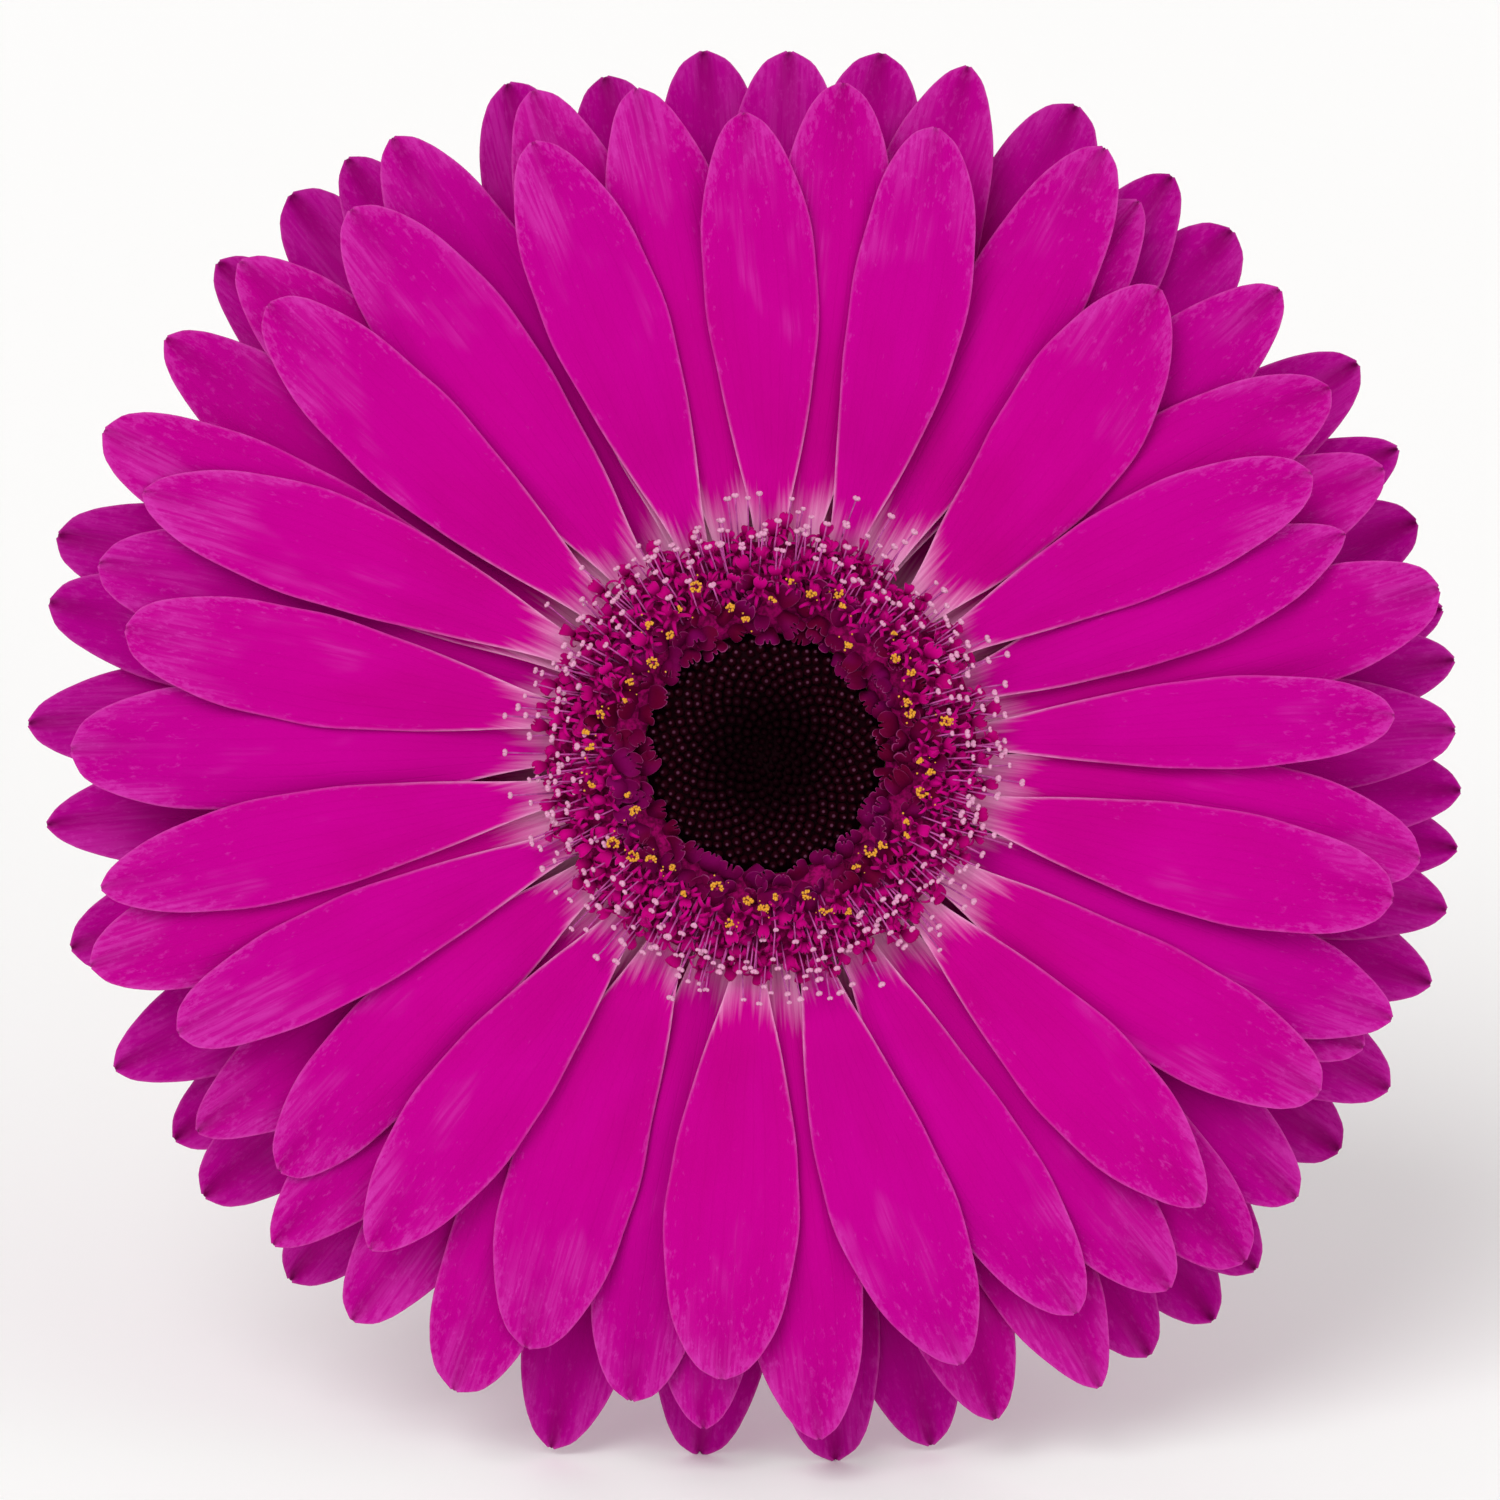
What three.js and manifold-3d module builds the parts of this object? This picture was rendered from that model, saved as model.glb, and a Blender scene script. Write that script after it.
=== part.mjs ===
// A cut gerbera, lying down: four crowded rows of petals round a dark eye, a green cup of
// bracts behind them, and a short stem that runs back until its cut end meets the surface.
// The head is laid out in its own frame, looking along -Z at its face: X across, Y up, Z out
// of the face. The whole flower is then tipped until petals and stem lie on the ground.
import * as THREE from "three";
import { mergeVertices } from "three/addons/utils/BufferGeometryUtils.js";
import Module from "manifold-3d";

const wasm = await Module();
wasm.setup();

// Driving dimensions, in millimetres
const headRadius = 57.2; // the eye's middle to the farthest petal tip
const petalWidth = 9; // across a petal of ordinary size
const petalThickness = 0.35;
const petalRootWidth = 1.6; // across the narrow claw of a petal, under the florets
const petalBend = 1.2; // above 1, a petal turns towards its tip's azimuth late
const petalLift = 9; // how far the topmost petals lean out of the face
const petalArch = 7; // how far every petal arches back by its tip
const petalFan = 0.8; // how far each layer spreads from the one above it at the tips
const petalCamber = 0.4; // how far a petal's edges lie behind its midline
const layerGap = 0.18; // between petals that lie on each other, at their roots
const clearance = 0.3; // between other pieces that touch
const eyeRadius = 8.9; // the disc of closed buds
const eyeHeight = 4.2;
const eyeDimple = 0.9; // how far the eye's middle sinks
const floretRingWidth = 7.2; // the ring of open florets round the eye
const floretRingHeight = 4.4;
const ledgeWidth = 1.6; // how far the receptacle reaches under the ring of florets
const cupRadius = 15.4; // the green cup at its rim
const cupHeight = 15;
const stemLength = 150;
const stemNeckRadius = 2.7;
const stemCutRadius = 3.3;
const stemSway = 4; // how far the stem bows to one side
const stemCutSlant = 35; // degrees off square
const stemCutLength = 12; // the last stretch, whose rings lean over towards the cut
const collarWidth = 1.2; // the collar that the outermost petals grow out of
const neckSwelling = 0.6; // how much wider than the stem the cup's foot is

// What follows from them
const receptacleRadius = eyeRadius + ledgeWidth;
const petalRootRadius = receptacleRadius + clearance;
const layerPitch = petalThickness + layerGap;
const floretRingInner = eyeRadius + clearance;
const floretRingOuter = floretRingInner + floretRingWidth;

// A petal's outline: shares of its length, and of its half width there
const outline = [
  [0, 0], [0.16, 0.1], [0.3, 0.45], [0.45, 0.78], [0.62, 1],
  [0.78, 0.93], [0.9, 0.64], [0.97, 0.34], [1, 0.07],
];

// Each petal: tip azimuth in degrees, how far its tip stops short of headRadius, how much
// wider than petalWidth it is, and how many degrees its root stands from its tip.
// Topmost petals come first, and each petal lies under those before it that it crosses.
const upperPetals = [
  [137.9, 6.3, -0.3, 1.6], [27.1, 10.6, -1, 3.6], [231.5, 9, -0.2, -1.8],
  [287.7, 8.4, 0.5, -5], [314.1, 9.4, -0.3, 1.2], [49.7, 10.8, 1.6, -7.2],
  [74.7, 7.9, 0, -6], [91.9, 8.5, -0.3, -3.4], [110.8, 7.5, 0.2, -1.8],
  [191.5, 5.7, -1, -1], [248.1, 8.4, 1, -5.8], [266, 9.5, 1.2, -0.3],
  [346.9, 8.2, -0.4, -1.9], [3.4, 9.3, -2, 0.9], [205.5, 7.8, -1.3, -1.2],
  [157.2, 5.9, -0.5, -5.2], [20.7, 10, -1.5, -2.7], [220.7, 8.4, -0.5, -6.2],
  [299, 8.4, -0.5, -4], [328.5, 7.7, -0.3, -2.3], [169, 7.7, -0.4, 1],
];
const secondPetals = [
  [13.7, 4.2, 0, -2.7], [60.7, 4.2, 0, -0.7], [83.3, 5.8, 0.2, -2.8],
  [101, 5.6, 0.2, -2], [127.3, 5.1, 0.8, -0.6], [179.7, 4.3, 0.8, -1.2],
  [258.3, 6.7, 0, -2.8], [274.5, 4.7, 0.3, -1.5], [307, 6, 0, -3],
  [337, 5.2, 0.2, -3], [350.8, 6.7, -0.4, 4.5], [32.9, 5.9, 0, 4.1],
  [55.9, 6.2, 0.2, 5.1], [333.8, 6.2, -0.6, 0],
];
const thirdPetals = [
  [42, 4.2, 0, 0], [73.5, 2.2, 0.4, 0], [88, 3.2, 0.2, 0], [109.3, 3.6, 0.2, 0],
  [121.2, 2.1, 0.3, 0], [136.9, 2.2, 0, 0], [154, 1.1, 0.2, 0], [197.5, 3.3, 0, 0],
  [225, 4.1, -0.2, 0], [244, 3, 0.3, -4.5], [264.8, 5.3, 0, -4.5], [297.8, 2.3, 0.2, 0],
  [313.3, 3.7, 0, 0], [145.3, 1.4, 0, 2], [164.1, 4.3, 0, -4.5], [213.7, 5, 0, 0],
  [234, 3.5, -0.3, 0], [24.7, 5.1, 0, 0], [289.1, 3.1, 0, 0], [320, 4, 0, 0],
];
const outerPetals = [
  [275.7, 2.4, 0, 0], [252.9, 1.1, 0.3, -3.5], [1.9, 4, 0, 0],
  [7.7, 3.5, 0, 0], [19.5, 3.7, 0.2, 0], [33.3, 2.2, 0.3, 0], [54.8, 2.8, 0.2, 0],
  [80.5, 2.5, 0.4, 0], [103.3, 3.7, 0.2, 0], [125.1, 1.2, 0, 0], [138.1, 0.4, 0.2, 0],
  [168.1, 0.8, 0, 0], [185.7, 1.6, 0.2, 0], [205.9, 1.5, 0.3, 0], [218.3, 2, 0, 0],
  [264.7, 2.7, 0.4, 0], [302.5, 2.1, 0, 0], [313.5, 2.1, 0.2, 0], [331.7, 2.6, 0, 0],
  [347, 3.3, 0.2, 0], [356.9, 3.3, 0, 0],
  [12, 3.5, -0.3, 0], [25.7, 2.6, 0, 0], [48.2, 3.1, 0.2, 0], [64.3, 1.7, 0.3, 0],
  [95, 2.8, 0.4, 0], [111, 1.8, 0, 5], [130.3, 0.5, 0, 2], [162.9, 0, 0.2, -4],
  [177.7, 0.2, 0.2, -3.5], [195.7, 1.5, 0.2, 0], [213.2, 2.6, 0, 0], [228, 2.3, 0.2, 0],
  [283.5, 2.2, 0.3, 0], [308.3, 1.2, 0, 0], [325.3, 3.2, 0.2, 0], [340.9, 2.8, 0, 0],
  [352.1, 3, 0, 0],
];

const degrees = (d) => THREE.MathUtils.degToRad(d);

function petal([tip, short, wider, rootTurn]) {
  return {
    tip: degrees(tip),
    root: degrees(tip + rootTurn),
    reach: headRadius - short,
    width: petalWidth + wider,
    layer: 0,
  };
}

// Half the width of a petal at a share of its length
function halfWidth(p, share) {
  const i = Math.max(1, outline.findIndex(([s]) => s >= share));
  const [[s0, w0], [s1, w1]] = [outline[i - 1], outline[i]];
  const w = THREE.MathUtils.mapLinear(Math.min(share, 1), s0, s1, w0, w1);
  return (petalRootWidth * (1 - w) * (1 - share) + p.width * w) / 2;
}

const azimuth = (p, share) => THREE.MathUtils.lerp(p.root, p.tip, share ** petalBend);

// Whether two petals cover each other anywhere, seen from the front
function cross(a, b) {
  const shortest = Math.min(a.reach, b.reach);
  for (let r = petalRootRadius; r < shortest; r += 1) {
    const shares = [a, b].map((p) => (r - petalRootRadius) / (p.reach - petalRootRadius));
    let turn = azimuth(a, shares[0]) - azimuth(b, shares[1]);
    turn = Math.abs(THREE.MathUtils.euclideanModulo(turn + Math.PI, 2 * Math.PI) - Math.PI);
    if (turn * r < halfWidth(a, shares[0]) + halfWidth(b, shares[1]) + clearance) return true;
  }
  return false;
}

// Each petal goes one layer under the lowest petal before it that it crosses
function stack(petals, placed, firstLayer) {
  for (const p of petals) {
    const above = placed.filter((q) => cross(p, q)).map((q) => q.layer + 1);
    p.layer = Math.max(firstLayer, ...above);
    placed.push(p);
  }
  return Math.max(...petals.map((p) => p.layer));
}

// How far out of the face a layer stands at a radius
function layerHeight(layer, radius) {
  const out = (radius - petalRootRadius) / (headRadius - petalRootRadius);
  return -layerPitch * layer + (petalLift - petalFan * layer) * out - petalArch * out ** 3;
}

// A box with three corners across and one row of them at each point of the outline,
// bent into a petal
function petalGeometry(p) {
  const rows = outline.length - 1;
  const g = new THREE.BoxGeometry(1, 1, 1, 2, 1, rows);
  const at = g.attributes.position;
  for (let i = 0; i < at.count; i++) {
    const share = outline[Math.round((at.getZ(i) + 0.5) * rows)][0];
    const side = 2 * at.getX(i);
    const r = THREE.MathUtils.lerp(petalRootRadius, p.reach, share);
    const a = azimuth(p, share);
    const across = side * halfWidth(p, share);
    const x = r * Math.cos(a) - across * Math.sin(a);
    const y = r * Math.sin(a) + across * Math.cos(a);
    const flat = layerHeight(p.layer, Math.hypot(x, y));
    const camber = petalCamber * (halfWidth(p, share) / halfWidth(p, 0.62)) * side ** 2;
    at.setXYZ(i, x, y, flat - camber + at.getY(i) * petalThickness);
  }
  return g;
}

// Joining with manifold-3d
function solid(geometry) {
  const g = geometry.clone();
  g.deleteAttribute("normal");
  g.deleteAttribute("uv");
  const m = mergeVertices(g, 1e-4);
  return new wasm.Manifold(new wasm.Mesh({
    numProp: 3,
    vertProperties: new Float32Array(m.attributes.position.array),
    triVerts: new Uint32Array(m.index.array),
  }));
}

function geometryOf(manifold) {
  const m = manifold.getMesh();
  const g = new THREE.BufferGeometry();
  g.setAttribute("position", new THREE.BufferAttribute(m.vertProperties, 3));
  g.setIndex(new THREE.BufferAttribute(m.triVerts, 1));
  return g;
}

// A solid turned round the head's axis from [radius, height] points
function turned(points, segments) {
  const g = new THREE.LatheGeometry(points.map(([r, z]) => new THREE.Vector2(r, z)), segments);
  return g.rotateX(Math.PI / 2);
}

const finish = {
  upper: new THREE.MeshStandardMaterial({ color: 0xc8008f, roughness: 0.6, metalness: 0 }),
  lower: new THREE.MeshStandardMaterial({ color: 0xb40085, roughness: 0.65, metalness: 0 }),
  florets: new THREE.MeshStandardMaterial({ color: 0x860050, roughness: 0.6, metalness: 0 }),
  eye: new THREE.MeshStandardMaterial({ color: 0x1c0410, roughness: 0.8, metalness: 0 }),
  bracts: new THREE.MeshStandardMaterial({ color: 0x5d7a34, roughness: 0.75, metalness: 0 }),
  stem: new THREE.MeshStandardMaterial({ color: 0x7f9a4e, roughness: 0.7, metalness: 0 }),
};

const head = new THREE.Group();

function add(name, geometry, material) {
  const mesh = new THREE.Mesh(geometry, material);
  mesh.name = name;
  head.add(mesh);
  return mesh;
}

function addRow(name, petals, material) {
  petals.forEach((p, i) => {
    add(`${name}_petal_${String(i + 1).padStart(2, "0")}`, petalGeometry(p), material);
  });
}

const rows = [upperPetals, secondPetals, thirdPetals].map((row) => row.map(petal));
const outer = outerPetals.map(petal);
const placed = [];
const lowestSingle = Math.max(...rows.map((row) => stack(row, placed, 0)));
const lowestLayer = stack(outer, placed, lowestSingle + 1);
addRow("upper", rows[0], finish.upper);
addRow("second", rows[1], finish.upper);
addRow("third", rows[2], finish.lower);

// The outer petals grow out of one collar, and make one piece with it
function collarGeometry() {
  const top = layerHeight(lowestSingle + 1, petalRootRadius) + petalThickness / 2;
  const bottom = layerHeight(lowestLayer, petalRootRadius) - petalThickness / 2;
  const rim = petalRootRadius + collarWidth;
  const inner = petalRootRadius;
  return turned([[inner, bottom], [rim, bottom], [rim, top], [inner, top], [inner, bottom]], 36);
}
const joined = outer.reduce((sum, p) => sum.add(solid(petalGeometry(p))), solid(collarGeometry()));
add("outer_petals", geometryOf(joined), finish.lower);

// The eye is a low dome of closed buds with a dimple in its middle. Its edge is given in
// shares of its radius and height.
const eyeCrown = [[1, 0.72], [0.86, 0.92], [0.6, 1]];
function eyeGeometry() {
  return turned([
    [0, clearance], [eyeRadius, clearance],
    ...eyeCrown.map(([r, z]) => [r * eyeRadius, z * eyeHeight]),
    [0.3 * eyeRadius, eyeHeight - eyeDimple / 2], [0, eyeHeight - eyeDimple],
  ], 40);
}
add("disc_buds", eyeGeometry(), finish.eye);

// The ring of open florets stands on the petals' roots. Its back is flat, and its crown is
// given in shares of its width and height, from the outside in.
const ringCrown = [[1, 0.5], [0.75, 0.88], [0.4, 1], [0.12, 0.95], [0, 0.78]];
function floretRingGeometry() {
  const back = (r) => layerHeight(0, r) + petalThickness / 2 + clearance;
  const crown = ringCrown.map(([w, z]) => [
    floretRingInner + w * floretRingWidth,
    clearance + z * floretRingHeight,
  ]);
  const foot = [floretRingInner, back(petalRootRadius)];
  return turned([
    foot, [petalRootRadius, back(petalRootRadius)], [floretRingOuter, back(floretRingOuter)],
    ...crown, foot,
  ], 48);
}
add("open_florets", floretRingGeometry(), finish.florets);

// The cup of bracts holds the receptacle, the knob that petals and florets grow from. The
// cup's side is given in shares of the way from the neck out to the rim, and of its height.
const rootCamber = petalCamber * petalRootWidth / petalWidth;
const underside = (r) => layerHeight(lowestLayer, r) - petalThickness / 2 - rootCamber;
const cupTop = Math.min(underside(petalRootRadius), underside(cupRadius)) - clearance;
const cupFoot = cupTop - cupHeight;
const cupSide = [[0.25, 0.1], [0.62, 0.3], [0.88, 0.6], [1, 0.88], [1, 1]];
function cupGeometry() {
  const neck = stemNeckRadius + neckSwelling;
  return turned([
    [0, cupFoot], [neck, cupFoot],
    ...cupSide.map(([r, z]) => [neck + r * (cupRadius - neck), cupFoot + z * cupHeight]),
    [receptacleRadius, cupTop], [receptacleRadius, 0], [0, 0],
  ], 40);
}
add("bract_cup", cupGeometry(), finish.bracts);

// The stem: a round rod that thickens towards its slanting cut and bows to one side
function stemGeometry() {
  const g = new THREE.CylinderGeometry(1, 1, 1, 14, 20);
  const at = g.attributes.position;
  const top = cupFoot - clearance;
  const slope = Math.tan(degrees(stemCutSlant));
  for (let i = 0; i < at.count; i++) {
    const share = 0.5 - at.getY(i);
    const radius = THREE.MathUtils.lerp(stemNeckRadius, stemCutRadius, share);
    const across = at.getX(i) * radius;
    const sway = stemSway * Math.sin(Math.PI * share) ** 2;
    const down = stemLength * share;
    const nearCut = Math.max(0, 1 - (stemLength - down) / stemCutLength);
    at.setXYZ(i, sway + across, -at.getZ(i) * radius, top - down + across * slope * nearCut);
  }
  return g;
}
const stem = add("stem", stemGeometry(), finish.stem);

// Lying down: the face looks along -Y, and the head is tipped back until the lowest petal and
// the lowest side of the stem are level
const flower = new THREE.Group();
flower.add(head);

function lowest(meshes, tilt) {
  head.rotation.set(Math.PI / 2 - tilt, 0, 0);
  flower.updateMatrixWorld(true);
  return Math.min(...meshes.map((m) => new THREE.Box3().setFromObject(m, true).min.z));
}

function restingTilt() {
  const petals = head.children.filter((m) => m.name.includes("petal"));
  let [low, high] = [0, Math.PI / 3];
  for (let i = 0; i < 40; i++) {
    const middle = (low + high) / 2;
    if (lowest([stem], middle) > lowest(petals, middle)) low = middle;
    else high = middle;
  }
  return low;
}

// The origin is on the ground under the middle of the flower's box
lowest([stem], restingTilt());
const box = new THREE.Box3().setFromObject(flower, true);
const middle = box.getCenter(new THREE.Vector3());
head.position.set(-middle.x, -middle.y, -box.min.z);

export default flower;
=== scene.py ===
import bpy
import math
import random
from functools import partial
import numpy as np
from mathutils import Matrix, Vector


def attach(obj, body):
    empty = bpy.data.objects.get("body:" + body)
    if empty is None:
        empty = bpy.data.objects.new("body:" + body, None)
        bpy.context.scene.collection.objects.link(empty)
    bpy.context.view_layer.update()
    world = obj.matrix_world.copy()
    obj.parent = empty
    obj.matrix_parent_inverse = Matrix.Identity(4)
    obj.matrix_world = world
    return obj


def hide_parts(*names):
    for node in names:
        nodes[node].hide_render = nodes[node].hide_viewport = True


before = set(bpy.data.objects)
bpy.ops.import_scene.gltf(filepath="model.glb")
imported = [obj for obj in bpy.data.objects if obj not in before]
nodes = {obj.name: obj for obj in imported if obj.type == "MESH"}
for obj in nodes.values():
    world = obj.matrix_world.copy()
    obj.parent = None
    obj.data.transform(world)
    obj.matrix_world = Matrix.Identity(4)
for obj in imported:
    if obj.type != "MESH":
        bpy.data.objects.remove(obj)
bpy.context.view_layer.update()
mm = 0.001
goldenTurn = math.pi * (3 - math.sqrt(5))
floorRest = 0.00002   # metres; nothing reaches below the floor
print("stage: frame loaded,", len(nodes), "pieces")


def hexColour(code):
    # an sRGB hex value turned to the linear colour that shaders use
    parts = [int(code[i:i + 2], 16) / 255 for i in (1, 3, 5)]
    linear = [c / 12.92 if c <= 0.04045 else ((c + 0.055) / 1.055) ** 2.4 for c in parts]
    return (*linear, 1.0)


def fillSockets(node, inputs):
    # numbers, colours as #RRGGBB or other nodes' outputs; a list fills the sockets in order,
    # a dictionary fills them by name
    if not isinstance(inputs, dict):
        inputs = dict(zip([i for i, socket in enumerate(node.inputs) if socket.enabled], inputs))
    for key, value in inputs.items():
        if isinstance(value, bpy.types.NodeSocket):
            node.id_data.links.new(value, node.inputs[key])
        else:
            node.inputs[key].default_value = hexColour(value) if isinstance(value, str) else value


def addNode(tree, kind, inputs=(), out=None):
    # kind is a node's type and its settings; gives back the output named, or else the first in use
    nodeType, settings = kind
    node = tree.nodes.new(nodeType)
    for key, value in settings.items():
        setattr(node, key, value)
    fillSockets(node, inputs)
    return node.outputs[out] if out else next(o for o in node.outputs if o.enabled)


def newMaterial(name, settings, stored=()):
    # gives back the material, its shader, addNode for its tree, and the stored numbers asked for
    material = bpy.data.materials.new(name)
    material.use_nodes = True
    shader = material.node_tree.nodes["Principled BSDF"]
    fillSockets(shader, settings)
    add = partial(addNode, material.node_tree)
    numbers = [add(("ShaderNodeAttribute", {"attribute_name": key}), out="Fac") for key in stored]
    return material, shader, add, *numbers


# Kinds of node, each with its settings
times, plus, minus, timesPlus, sine, positive = (
    ("ShaderNodeMath", {"operation": name})
    for name in ("MULTIPLY", "ADD", "SUBTRACT", "MULTIPLY_ADD", "SINE", "ABSOLUTE"))
blend = ("ShaderNodeMix", {"data_type": "RGBA"})
ramp = ("ShaderNodeMapRange", {"interpolation_type": "SMOOTHSTEP"})
straightRamp = ("ShaderNodeMapRange", {})
stretch = ("ShaderNodeVectorMath", {"operation": "MULTIPLY"})
noise, relief, coordinates, joinAxes, splitAxes = (
    ("ShaderNode" + name, {})
    for name in ("TexNoise", "Bump", "TexCoord", "CombineXYZ", "SeparateXYZ"))


def smoothThrough(points, x):
    # a smooth curve through [place, value] points, read at x
    px, py = np.array(points, float).T
    slope = np.gradient(py, px)
    x = np.clip(x, px[0], px[-1])
    i = np.clip(np.searchsorted(px, x, side="right") - 1, 0, len(px) - 2)
    w = px[i + 1] - px[i]
    t = (x - px[i]) / w
    return ((2 * t**3 - 3 * t**2 + 1) * py[i] + (t**3 - 2 * t**2 + t) * w * slope[i]
            + (3 * t**2 - 2 * t**3) * py[i + 1] + (t**3 - t**2) * w * slope[i + 1])


def rise(x, low, high):
    # 0 below low, 1 above high, smooth between
    t = np.clip((x - low) / (high - low), 0, 1)
    return t * t * (3 - 2 * t)


def meshPoints(node):
    return np.array([v.co for v in nodes[node].data.vertices], float)


# The eye and the cup are both turned solids, so their middles lie on the head's axis
eyeMiddle = Vector(meshPoints("disc_buds").mean(0))
cupMiddle = Vector(meshPoints("bract_cup").mean(0))
outOfFace = (eyeMiddle - cupMiddle).normalized()
acrossFace = Vector((1, 0, 0))
upFace = outOfFace.cross(acrossFace).normalized()
clearance = 0.3   # mm that the frame keeps between touching pieces
eyeBack = ((meshPoints("disc_buds") - np.array(eyeMiddle)) @ np.array(outOfFace)).min()
headMiddle = eyeMiddle + outOfFace * (eyeBack - clearance * mm)
headTurn = Matrix((acrossFace, upFace, outOfFace)).transposed()
toWorld = Matrix.Translation(headMiddle) @ headTurn.to_4x4() @ Matrix.Scale(mm, 4)


def headPoints(node):
    # a node's corners in the head's own frame, in mm: x across, y up, z out of the face
    return (meshPoints(node) - np.array(headMiddle)) @ np.array(headTurn) / mm


def addPiece(name, points, faces, material, replaced, numbers=None, vectors=None):
    # points are in the head's frame, in mm; numbers and vectors are kept on each point
    matrix = np.array(toWorld)
    world = np.array(points, float) @ matrix[:3, :3].T + matrix[:3, 3]
    world[:, 2] = np.maximum(world[:, 2], floorRest)
    mesh = bpy.data.meshes.new(name)
    mesh.from_pydata(world.tolist(), [], faces)
    mesh.shade_smooth()
    for key, values in (numbers or {}).items():
        layer = mesh.attributes.new(key, "FLOAT", "POINT")
        layer.data.foreach_set("value", np.array(values, np.float32))
    for key, values in (vectors or {}).items():
        layer = mesh.attributes.new(key, "FLOAT_VECTOR", "POINT")
        layer.data.foreach_set("vector", np.array(values, np.float32).ravel())
    mesh.materials.append(material)
    piece = bpy.data.objects.new(name, mesh)
    bpy.context.scene.collection.objects.link(piece)
    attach(piece, "root")
    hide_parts(replaced)
    return piece


def gridFaces(rows, columns, closed=False):
    # quads over a grid of points, row by row; closed joins the last column to the first
    return [(r * columns + c, r * columns + (c + 1) % columns,
             (r + 1) * columns + (c + 1) % columns, (r + 1) * columns + c)
            for r in range(rows - 1) for c in range(columns if closed else columns - 1)]


def sheetFaces(rows, columns):
    # a thin closed sheet: its front grid, its back grid, and the rim between them
    back = rows * columns
    front = gridFaces(rows, columns)
    faces = [f[::-1] for f in front] + [tuple(i + back for i in f) for f in front]
    rim = ([(0, c) for c in range(columns)] + [(r, columns - 1) for r in range(1, rows)]
           + [(rows - 1, c) for c in range(columns - 2, -1, -1)]
           + [(r, 0) for r in range(rows - 2, 0, -1)])
    ids = [r * columns + c for r, c in rim]
    return faces + [(a, b, b + back, a + back) for a, b in zip(ids, ids[1:] + ids[:1])]


def tubeFaces(rings, sides):
    return gridFaces(rings, sides, closed=True) + [
        tuple(range(sides - 1, -1, -1)), tuple((rings - 1) * sides + i for i in range(sides))]


def tubePoints(path, radii, sides, flat=1.0, wide=(0.31, 0.93, 0.17)):
    # rings round a path; flat squeezes each ring across its wide direction
    path = np.array(path, float)
    ahead = np.gradient(path, axis=0)
    ahead /= np.linalg.norm(ahead, axis=1)[:, None] + 1e-12
    a = np.array(wide, float) - (ahead @ np.array(wide, float))[:, None] * ahead
    a /= np.linalg.norm(a, axis=1)[:, None] + 1e-12
    b = np.cross(ahead, a)
    turn = (np.arange(sides) * 2 * math.pi / sides)[None, :, None]
    ring = np.cos(turn) * a[:, None, :] + flat * np.sin(turn) * b[:, None, :]
    return (path[:, None, :] + np.array(radii, float)[:, None, None] * ring).reshape(-1, 3)


def turned(profile, sides):
    # a ring of points for each [radius, height] of a profile
    turn = np.arange(sides) * 2 * math.pi / sides
    return np.array([[r * math.cos(t), r * math.sin(t), z] for r, z in profile for t in turn])


def polar(radius, azimuth, height):
    return np.stack(np.broadcast_arrays(radius * np.cos(azimuth), radius * np.sin(azimuth),
                                        height), -1).astype(float)


def onBothFaces(shape, **numbers):
    # spreads each number over a sheet's grid, for its front and its back
    return {key: np.tile(np.broadcast_to(value, shape).ravel(), 2)
            for key, value in numbers.items()}


class Batch:
    # gathers many small shapes into one piece
    def __init__(self):
        self.points, self.faces, self.numbers, self.count = [], [], {}, 0

    def add(self, points, faces, **numbers):
        self.points.append(np.array(points, float))
        self.faces += [tuple(i + self.count for i in f) for f in faces]
        for key, value in numbers.items():
            self.numbers.setdefault(key, []).append(np.broadcast_to(value, len(points)))
        self.count += len(points)

    def addTube(self, path, radii, sides, **numbers):
        self.add(tubePoints(path, radii, sides), tubeFaces(len(path), sides), **numbers)

    def make(self, name, material, slot, replaced):
        numbers = {key: np.concatenate(values) for key, values in self.numbers.items()}
        return addPiece(name, np.concatenate(self.points), self.faces, material,
                        replaced, numbers)


print("stage: head found, tipped back", round(math.degrees(math.asin(outOfFace.z)), 2), "degrees")


# The same plan that the frame's petals follow, in mm and degrees
petalPlan = {
    "headRadius": 57.2,
    "width": 9,
    "rootWidth": 1.6,
    "rootRadius": 10.8,
    "bend": 1.2,
    "layerPitch": 0.53,
    "lift": 9,
    "arch": 7,
    "fan": 0.8,
}

# What gives each petal its own life
petalLife = {
    "thickness": 0.24,
    "camber": 0.46,      # edges behind the midline
    "furrow": 0.11,      # depth of the two long furrows
    "roll": 0.035,       # radians of twist by the tip
    "wave": 0.22,        # slow rise and fall along the blade
    "tipCurl": 0.9,      # how far tips bend back
    "tipFold": 0.95,     # how far the edges fold up near the tip
    "tipCrease": 0.6,    # depth of the crease that runs into the point
    "notch": 0.1,        # depth of the notches in the tip
    "lowerClaw": 0.2,    # how much wider the claws of the lower petals are
    "edgeRuffle": 0.12,
    "channel": 0.35,     # how far the claw's edges stand forward
}

# Shares of the length, and of the half width there: the blade, then a pointed and a blunt tip
petalBlade = [
    [0, 0], [0.08, 0.03], [0.16, 0.14], [0.23, 0.29], [0.3, 0.47], [0.38, 0.65], [0.46, 0.8],
    [0.55, 0.935], [0.63, 1],
]
pointedTip = [[0.71, 0.995], [0.79, 0.92], [0.86, 0.78], [0.92, 0.58], [0.96, 0.4],
              [0.985, 0.23], [1, 0.05]]
bluntTip = [[0.71, 1], [0.79, 0.965], [0.86, 0.885], [0.92, 0.75], [0.96, 0.58],
            [0.985, 0.37], [1, 0.07]]

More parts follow.
